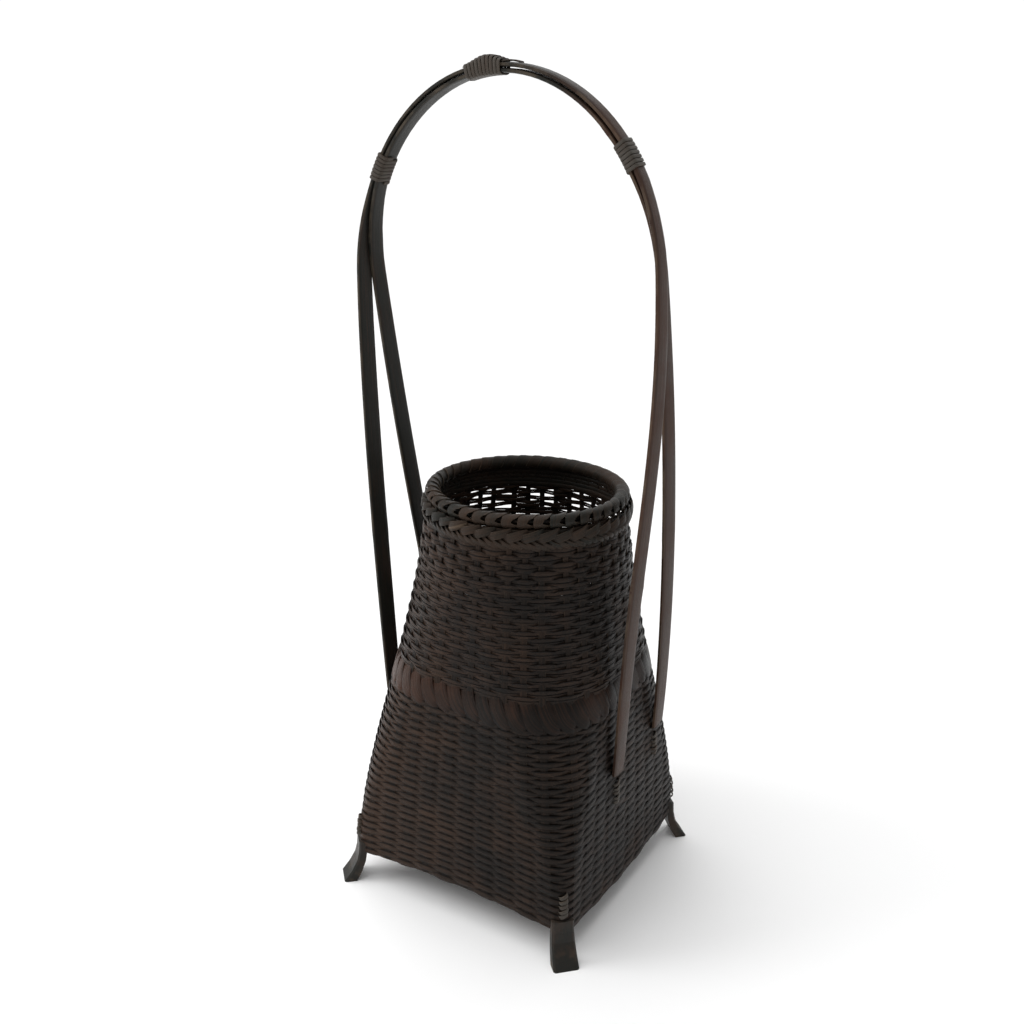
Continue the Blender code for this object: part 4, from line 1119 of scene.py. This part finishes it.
class BASKET_OT_rim_roll(bpy.types.Operator):
    """Curl the strips over the rim's hoop, each ending in a claw"""
    bl_idname = "basket.rim_roll"
    bl_label = "Rim roll"

    def execute(self, context):
        plait = context.scene.basket_plait
        chance = random.Random(SEEDS["rim_roll"])
        piece = Piece("rim_curl")
        pitch = 2 * math.pi / plait.rim_strips
        full = pitch * plait.ring_radius * CURL_OVERLAP
        course = eased_route(CURL_STOPS, CURL_STEPS)
        for number in range(plait.rim_strips):
            start = number + chance.uniform(-CURL_SHIFT, CURL_SHIFT)
            claw = plait.claw_width * chance.uniform(*CLAW_SPREAD)
            route = [((start + turn) * pitch, math.radians(degrees), lift,
                      full * (1 - narrow) + claw * narrow, tilt)
                     for degrees, turn, narrow, lift, tilt in course]
            piece.lay(RimFace(), route, plait.strip_thickness, chance.random() * RIM_TONES, crown=0.45)
        piece.finish("rim_lacquer", "rim_bamboo", "rim_roll")
        return {"FINISHED"}


BASE_STRIPS = 19
BASE_STRIP_SHARE = 0.46
BASE_STRIP_THICKNESS = 0.0008
BASE_WAVE = 0.0005
BASE_REACH = 0.0032
BASE_EDGE_STRIPS = 0.4
BASE_CORNER_SHARE = 0.93
BASE_CORNER_CUT = 0.6


class BASKET_OT_base(bpy.types.Operator):
    """Weave the bottom of flat strips"""
    bl_idname = "basket.base"
    bl_label = "Base"

    def execute(self, context):
        chance = random.Random(SEEDS["base"])
        piece = Piece("base_weave")
        for along_x in (True, False):
            for number in range(BASE_STRIPS):
                piece.bar(self.strip(along_x, number), tone=chance.random(), square=0.5)
        piece.finish("stake_lacquer", "stake_bamboo", "base_panel")
        return {"FINISHED"}

    def strip(self, along_x, number):
        """Stations of one strip, which goes over one crossing strip and under the next."""
        half = (PANEL[1][0] - PANEL[0][0]) / 2 + BASE_REACH
        pitch = 2 * half / (BASE_STRIPS + BASE_EDGE_STRIPS)
        side = (number - (BASE_STRIPS - 1) / 2) * pitch
        reach = half - max(abs(side) - half * BASE_CORNER_SHARE, 0.0) * BASE_CORNER_CUT
        level = (PANEL[0][2] + PANEL[1][2]) / 2
        across = Vector((0, 1, 0)) if along_x else Vector((1, 0, 0))
        stations = []
        for k in range(BASE_STRIPS * 2 + 1):
            place = (k / BASE_STRIPS - 1) * reach
            crossing = place / pitch + (BASE_STRIPS - 1) / 2
            wave = math.cos(math.pi * (crossing + number)) * (1 if along_x else -1)
            x, y = (place, side) if along_x else (side, place)
            rise = self.bend(x / half, y / half) + wave * BASE_WAVE
            middle = Vector((MIDDLE_X + x, MIDDLE_Y + y, level + rise))
            stations.append((middle, across, Vector((0, 0, 1)), pitch * BASE_STRIP_SHARE,
                             BASE_STRIP_THICKNESS / 2))
        return stations

    def bend(self, x, y):
        """The bottom follows the wall's bottom edges."""
        body = bpy.context.scene.basket_body
        front = smooth(-y) * math.cos(math.pi * x / 2)
        left = smooth(-x) * math.cos(math.pi * y / 2)
        right = smooth(x) * math.cos(math.pi * y / 2)
        return body.front_arch * max(front, left) - body.side_sag * right


# Handle

class Path:
    """A smooth run of points with an outward direction and one across at each."""

    def __init__(self, points):
        self.points = points
        self.lengths = [0.0]
        for a, b in zip(points, points[1:]):
            self.lengths.append(self.lengths[-1] + (b - a).length)

    def frame(self, k):
        before, after = self.points[max(k - 1, 0)], self.points[min(k + 1, len(self.points) - 1)]
        tangent = (after - before).normalized()
        across = Vector((0, 1, 0))
        across = (across - tangent * across.dot(tangent)).normalized()
        return tangent, tangent.cross(across), across

    def at(self, distance):
        """Point, tangent, outward and across at a distance along the path."""
        for k in range(len(self.points) - 1):
            if distance <= self.lengths[k + 1] or k == len(self.points) - 2:
                t = (distance - self.lengths[k]) / (self.lengths[k + 1] - self.lengths[k])
                turned = [a.lerp(b, t).normalized() for a, b in zip(self.frame(k), self.frame(k + 1))]
                return (self.points[k].lerp(self.points[k + 1], t), *turned)


# Side of the body, cell, shift along Y and height of each leg's lower end
LEG_LANDINGS = {
    ("outer", -1): (1, 16, 0.0022, 0.127),
    ("inner", -1): (1, 6, 0.0, 0.118),
    ("outer", 1): (3, 8, -0.0026, 0.102),
    ("inner", 1): (3, 16, 0.0022, 0.109),
}
ARCH_SIDE_SHIFT = -0.0044
LEG_BOW_POWER = 1.73
LEAN_POWER = 1.5
LEAN_START = 0.102
SHOULDER_SHARE = 0.55
UNSTACK_SHARE = 0.25
LEG_STEPS = 44
ARCH_STEPS = 56

# Each leg's bow and bend in metres and its twist in degrees
LEG_SWAYS = {("outer", -1): (-0.0004, 0.0, 12), ("inner", -1): (-0.0006, 0.0, 12),
             ("outer", 1): (-0.0020, -0.0024, 8), ("inner", 1): (0.0004, 0.0, 9)}
HANDLE_TONES = {"outer": 0.55, "inner": 0.35}
SWAY_TOP = 0.44
SWAY_DIRECTION = Vector((0.863, 0.506, 0.0))
TWIST_POWER = 0.7

# Where each strip's culm had its nodes, along the strip, and how far a node swells
NODE_PLACES = {"outer": (0.11, 0.335, 0.56, 0.80), "inner": (0.085, 0.30, 0.53, 0.77)}
NODE_LENGTH = 0.0028
NODE_WIDENING = 0.0009
NODE_THICKENING = 0.0003

# A leg's tongue: drop below its end, depth in the wall, half width and half thickness
TONGUE = ((0.0012, -0.0008, 0.0040, 0.0008), (0.0045, 0.0026, 0.0026, 0.0006),
          (0.0075, 0.0046, 0.0026, 0.0006), (0.0250, 0.0048, 0.0014, 0.0006))


def leg_end(strip, side):
    """Middle of a leg's lower end about the body's axis."""
    face, cell, shift, height = LEG_LANDINGS[(strip, side)]
    handle = bpy.context.scene.basket_handle
    wall = Wall(height)
    x, y, nx, ny = wall.place(face * CELLS_PER_SIDE + cell + 0.5)
    out = SEAT + handle.thickness / 2
    return Vector((x + nx * out, y + ny * out + shift, height))


def part_share(height, end_height):
    """How far down a leg is, from where the strips part to the leg's end."""
    handle, lashing = bpy.context.scene.basket_handle, bpy.context.scene.basket_lashing
    shoulder = handle.spring_height + handle.rise * SHOULDER_SHARE
    top = shoulder - lashing.shoulder_turns * lashing.pitch / 2
    return max((top - height) / (top - end_height), 0.0)


def stack_offset(strip, share_down):
    """A strip's distance from the line midway through the stacked pair."""
    handle = bpy.context.scene.basket_handle
    reach = (handle.thickness + handle.gap) / 2
    kept = min((1 - share_down) / (1 - UNSTACK_SHARE), 1.0)
    return reach * kept if strip == "outer" else -reach * kept


def lean_point(point):
    """The handle stands a little over to one side, more so the higher it is."""
    handle = bpy.context.scene.basket_handle
    rise = handle.spring_height + handle.rise - LEAN_START
    t = max((point.z - LEAN_START) / rise, 0.0)
    return Vector((MIDDLE_X + point.x - handle.lean * t ** LEAN_POWER, MIDDLE_Y + point.y,
                   point.z + point.x * handle.lean / rise * LEAN_POWER * t))


def leg_point(strip, side, height):
    """Point on a leg before the lean."""
    handle = bpy.context.scene.basket_handle
    end = leg_end(strip, side)
    t = (handle.spring_height - height) / (handle.spring_height - end.z)
    reach = handle.half_span - (handle.half_span - abs(end.x)) * t ** LEG_BOW_POWER
    down = part_share(height, end.z)
    reach += stack_offset(strip, down)
    return Vector((side * reach, ARCH_SIDE_SHIFT * (1 - down) + end.y * down, height))


def arch_point(strip, angle):
    """Point on the arch above the springing, before the lean."""
    handle = bpy.context.scene.basket_handle
    height = handle.spring_height + handle.rise * math.sin(angle)
    point = Vector((-handle.half_span * math.cos(angle), ARCH_SIDE_SHIFT, height))
    if strip is None:
        return point
    end = leg_end(strip, -1 if math.cos(angle) > 0 else 1)
    down = part_share(height, end.z)
    point.y = ARCH_SIDE_SHIFT * (1 - down) + end.y * down
    along = Vector((handle.half_span * math.sin(angle), 0, handle.rise * math.cos(angle)))
    outward = Vector((-along.z, 0, along.x)).normalized()
    return point + outward * stack_offset(strip, down)


def strip_path(strip):
    """The whole run of one strip, from its left leg's end to its right leg's."""
    handle = bpy.context.scene.basket_handle
    legs = []
    for side in (-1, 1):
        low = leg_end(strip, side).z
        legs.append([leg_point(strip, side, low + (handle.spring_height - low) * k / LEG_STEPS)
                     for k in range(LEG_STEPS)])
    arch = [arch_point(strip, math.pi * k / ARCH_STEPS) for k in range(ARCH_STEPS + 1)]
    return Path([lean_point(point) for point in legs[0] + arch + list(reversed(legs[1]))])


class BASKET_OT_handle(bpy.types.Operator):
    """Bend the two split bamboo strips of the handle"""
    bl_idname = "basket.handle"
    bl_label = "Handle strips"

    def execute(self, context):
        handle = context.scene.basket_handle
        for strip in ("outer", "inner"):
            path = strip_path(strip)
            stations = []
            for k, middle in enumerate(path.points):
                _, outward, across = path.frame(k)
                turn, sway = self.settled(strip, middle)
                middle = middle + sway
                down = part_share(middle.z, LEAN_START)
                node = sum(math.exp(-((path.lengths[k] - place) / NODE_LENGTH) ** 2)
                           for place in NODE_PLACES[strip])
                width = handle.arch_width + (handle.leg_width - handle.arch_width) * down
                stations.append((middle, turn @ across, turn @ outward, (width + node * NODE_WIDENING) / 2,
                                 handle.thickness / 2 + node * NODE_THICKENING))
            stations = self.tucked(strip, -1)[::-1] + stations + self.tucked(strip, 1)
            piece = Piece("handle_" + strip)
            piece.bar(stations, sides=12, tone=HANDLE_TONES[strip], square=0.38, crown=0.30)
            piece.finish("handle_lacquer", "handle_bamboo", "handle_strip_" + strip)
        return {"FINISHED"}

    def settled(self, strip, point):
        """How a leg twists and sways at a point, where its strip was coaxed into place."""
        side = -1 if point.x < MIDDLE_X else 1
        low = leg_end(strip, side).z
        t = min(max((point.z - low) / (SWAY_TOP - low), 0.0), 1.0)
        bow, bend, twist = LEG_SWAYS[(strip, side)]
        angle = math.radians(twist) * math.sin(math.pi * t) ** TWIST_POWER
        amount = bow * math.sin(math.pi * t) + bend * math.sin(2 * math.pi * t)
        return Matrix.Rotation(-angle, 3, "Z"), SWAY_DIRECTION * amount

    def tucked(self, strip, side):
        """Stations from a leg's end in through the wall and down behind it."""
        face, cell, _, end = LEG_LANDINGS[(strip, side)]
        cell += face * CELLS_PER_SIDE + 0.5
        stations = []
        for drop, depth, half_width, half_thickness in TONGUE:
            wall = Wall(end - drop)
            outward = Vector((*wall.place(cell)[2:], 0.0))
            across = Vector((0, 0, 1)).cross(outward)
            if across.y < 0:
                across = -across
            stations.append((wall.point(cell, depth), across, outward, half_width, half_thickness))
        return stations


# Lashings

POINTS_PER_TURN = 24
LOOP_POWER = 0.42
PAIR_STEPS = 120
WRAP_CLEARANCE = 0.0003
TOP_SHIFT = 0.004

# The pad under the top lashing
PAD_STEPS = 24
PAD_EDGE = 0.0005
PAD_RISE = 0.0026
PAD_SKEW = 1.25
PAD_POWER = 1.6
PAD_OVERHANG = 0.001
PAD_INSET = 0.0008
PAD_CLEARANCE = 0.0001

# The end of the top lashing's cane: along the strips, above them and across them
TAIL_STEPS = 9
TAIL_START = 0.0015
TAIL_RUN = 0.0075
TAIL_LIFT = 0.0004
TAIL_BOW = 0.0005
TAIL_SIDE = -0.0032
TAIL_CROSSING = 0.0058
TAIL_HALF_WIDTH = 0.0026
TAIL_HALF_THICKNESS = 0.0005


def loop_point(turn, half_width, above, below):
    """Point and outward direction round a pair of strips, for a turn in radians."""
    x, y = math.cos(turn), math.sin(turn)
    reach = above if y > 0 else below
    point = (half_width * squared(x, LOOP_POWER), reach * squared(y, LOOP_POWER))
    return point, Vector((x / half_width, y / reach)).normalized()


def wind(piece, path, start, turns, loop_of, tone):
    """Winds flat cane round the path, one unbroken strip."""
    lashing = bpy.context.scene.basket_lashing
    stations = []
    for k in range(turns * POINTS_PER_TURN + 1):
        turn = k / POINTS_PER_TURN
        distance = start + turn * lashing.pitch
        middle, tangent, outward, across = path.at(distance)
        (a, b), normal = loop_point(2 * math.pi * turn - math.pi / 2, *loop_of(distance))
        facing = (across * normal.x + outward * normal.y).normalized()
        stations.append((middle + across * a + outward * b, tangent, facing,
                         lashing.cane_width / 2, lashing.cane_thickness / 2))
    piece.bar(stations, tone=tone, square=0.6, crown=0.2)


class BASKET_OT_lashings(bpy.types.Operator):
    """Wind the cane round the handle at the top and the shoulders"""
    bl_idname = "basket.lashings"
    bl_label = "Handle lashings"

    def execute(self, context):
        handle, lashing = context.scene.basket_handle, context.scene.basket_lashing
        path = Path([lean_point(arch_point(None, math.pi * k / PAIR_STEPS)) for k in range(PAIR_STEPS + 1)])
        half_width = handle.arch_width / 2 + lashing.cane_thickness / 2 + WRAP_CLEARANCE
        deep = handle.thickness + handle.gap / 2 + lashing.cane_thickness / 2 + WRAP_CLEARANCE
        rise = math.asin(SHOULDER_SHARE)
        for name, angle in (("left", rise), ("right", math.pi - rise)):
            start = self.distance(path, angle) - lashing.shoulder_turns * lashing.pitch / 2
            piece = Piece("shoulder_wrap_" + name)
            wind(piece, path, start, lashing.shoulder_turns, lambda _: (half_width, deep, deep), 0.5)
            piece.finish("cane_binding", "cane", "shoulder_lashing_" + name)
        span = lashing.top_turns * lashing.pitch
        start = self.distance(path, math.pi / 2) - TOP_SHIFT - span / 2
        self.pad(path, start, span, handle)
        piece = Piece("top_wrap")
        wind(piece, path, start, lashing.top_turns,
             lambda distance: (half_width, deep + self.hump(distance - start, span), deep), 0.55)
        self.tail(piece, path, start + span, handle)
        piece.finish("cane_binding", "cane", "top_lashing")
        return {"FINISHED"}

    def distance(self, path, angle):
        """Distance along the path at an angle of the arch."""
        place = angle / math.pi * (len(path.points) - 1)
        k = min(int(place), len(path.points) - 2)
        return path.lengths[k] + (path.lengths[k + 1] - path.lengths[k]) * (place - k)

    def hump(self, distance, span):
        """The pad's height, at a distance from the first turn."""
        t = min(max(distance / span, 0.0), 1.0)
        return PAD_EDGE + PAD_RISE * math.sin(math.pi * t ** PAD_SKEW) ** PAD_POWER

    def pad(self, path, start, span, handle):
        """The small pad that the top lashing binds."""
        stations = []
        for k in range(PAD_STEPS + 1):
            distance = (span + 2 * PAD_OVERHANG) * k / PAD_STEPS - PAD_OVERHANG
            point, _, outward, across = path.at(start + distance)
            height = self.hump(distance, span)
            lift = handle.thickness + handle.gap / 2 + height / 2 + PAD_CLEARANCE
            stations.append((point + outward * lift, across, outward,
                             handle.arch_width / 2 - PAD_INSET, height / 2))
        piece = Piece("top_pad")
        piece.bar(stations, sides=12, tone=0.4, square=0.6)
        piece.finish("handle_lacquer", "handle_bamboo", "top_bolster")

    def tail(self, piece, path, start, handle):
        """The cane's end, turned over the strips and tucked back."""
        stations = []
        for k in range(TAIL_STEPS + 1):
            t = k / TAIL_STEPS
            point, _, outward, across = path.at(start + TAIL_START + TAIL_RUN * t)
            lift = handle.thickness + TAIL_LIFT + TAIL_BOW * math.sin(math.pi * t)
            middle = point + outward * lift + across * (TAIL_SIDE + TAIL_CROSSING * t)
            stations.append((middle, across, outward, TAIL_HALF_WIDTH, TAIL_HALF_THICKNESS))
        piece.bar(stations, tone=0.6)


STITCHES = 5
STITCH_STEPS = 8
STITCH_REACH = 0.0029
STITCH_BULGE = 0.0019
STITCH_SINK = 0.0010
STITCH_STAGGER = 0.0003
STITCH_SLANTS = (0.2, 0.5)
FOOT_TIES = (("front", 3), ("right", 0), ("back", 1), ("left", 2))
LEG_TIES = (("front_left", ("outer", -1)), ("back_left", ("inner", -1)),
            ("front_right", ("outer", 1)), ("back_right", ("inner", 1)))


class BASKET_OT_ties(bpy.types.Operator):
    """Stitch the ties over the feet and under the handle's legs"""
    bl_idname = "basket.ties"
    bl_label = "Stitched ties"

    def execute(self, context):
        for name, corner in FOOT_TIES:
            self.tie("foot_stitch_" + name, "foot_tie_" + name, corner * CELLS_PER_SIDE)
        for name, leg in LEG_TIES:
            face, cell, _, _ = LEG_LANDINGS[leg]
            self.tie("leg_stitch_" + name, "leg_tie_" + name, face * CELLS_PER_SIDE + cell + 0.5)
        return {"FINISHED"}

    def tie(self, name, node, cell):
        """A column of short stitches, each out of the wall and in again."""
        lashing = bpy.context.scene.basket_lashing
        low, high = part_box(node)[0][2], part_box(node)[1][2]
        chance = random.Random(name)
        piece = Piece(name)
        pitch = (high - low) / STITCHES
        for number in range(STITCHES):
            height = low + pitch * (number + 0.5)
            slant = chance.uniform(*STITCH_SLANTS) * pitch
            reach = STITCH_REACH / (Wall(height).length / CELLS_PER_SIDE)
            sink = STITCH_SINK - STITCH_STAGGER * (number % 2)
            route = []
            for k in range(STITCH_STEPS + 1):
                turn = 2 * k / STITCH_STEPS - 1
                route.append((cell + turn * reach, height + slant * turn,
                              STITCH_BULGE * (1 - turn ** 4) - sink, lashing.stitch_width, 0))
            piece.lay(WallFace(), route, lashing.cane_thickness, chance.random(), crown=0.2)
        piece.finish("cane_binding", "cane", node)


class BASKET_PT_sidebar(bpy.types.Panel):
    """Lists the steps that build the basket"""
    bl_idname = "BASKET_PT_sidebar"
    bl_label = "Ikebana Basket"
    bl_space_type = "VIEW_3D"
    bl_region_type = "UI"
    bl_category = "Basket"

    def draw(self, context):
        layout = self.layout
        for step in STEPS:
            layout.operator(step.bl_idname)
        for group in ("body", "weave", "plait", "handle", "lashing", "finish", "stage"):
            settings = getattr(context.scene, "basket_" + group)
            box = layout.box()
            box.label(text=group.capitalize())
            for name in settings.bl_rna.properties.keys():
                if name not in ("rna_type", "name"):
                    box.prop(settings, name)


GROUPS = {
    "basket_body": BodySettings,
    "basket_weave": WeaveSettings,
    "basket_plait": PlaitSettings,
    "basket_handle": HandleSettings,
    "basket_lashing": LashingSettings,
    "basket_finish": FinishSettings,
    "basket_stage": StageSettings,
}
STEPS = (
    BASKET_OT_stage,
    BASKET_OT_finishes,
    BASKET_OT_stakes,
    BASKET_OT_lower_wall,
    BASKET_OT_band,
    BASKET_OT_upper_wall,
    BASKET_OT_rim_rows,
    BASKET_OT_rim_roll,
    BASKET_OT_base,
    BASKET_OT_handle,
    BASKET_OT_lashings,
    BASKET_OT_ties,
)


def register():
    for group in GROUPS.values():
        bpy.utils.register_class(group)
    for name, group in GROUPS.items():
        setattr(bpy.types.Scene, name, PointerProperty(type=group))
    for step in STEPS:
        bpy.utils.register_class(step)
    bpy.utils.register_class(BASKET_PT_sidebar)


def unregister():
    bpy.utils.unregister_class(BASKET_PT_sidebar)
    for step in reversed(STEPS):
        bpy.utils.unregister_class(step)
    for name in GROUPS:
        delattr(bpy.types.Scene, name)
    for group in reversed(GROUPS.values()):
        bpy.utils.unregister_class(group)


def main():
    register()
    bpy.ops.basket.stage()
    bpy.ops.basket.finishes()
    bpy.ops.basket.stakes()
    bpy.ops.basket.lower_wall()
    bpy.ops.basket.band()
    bpy.ops.basket.upper_wall()
    bpy.ops.basket.rim_rows()
    bpy.ops.basket.rim_roll()
    bpy.ops.basket.base()
    bpy.ops.basket.handle()
    bpy.ops.basket.lashings()
    bpy.ops.basket.ties()


if __name__ == "__main__":
    main()
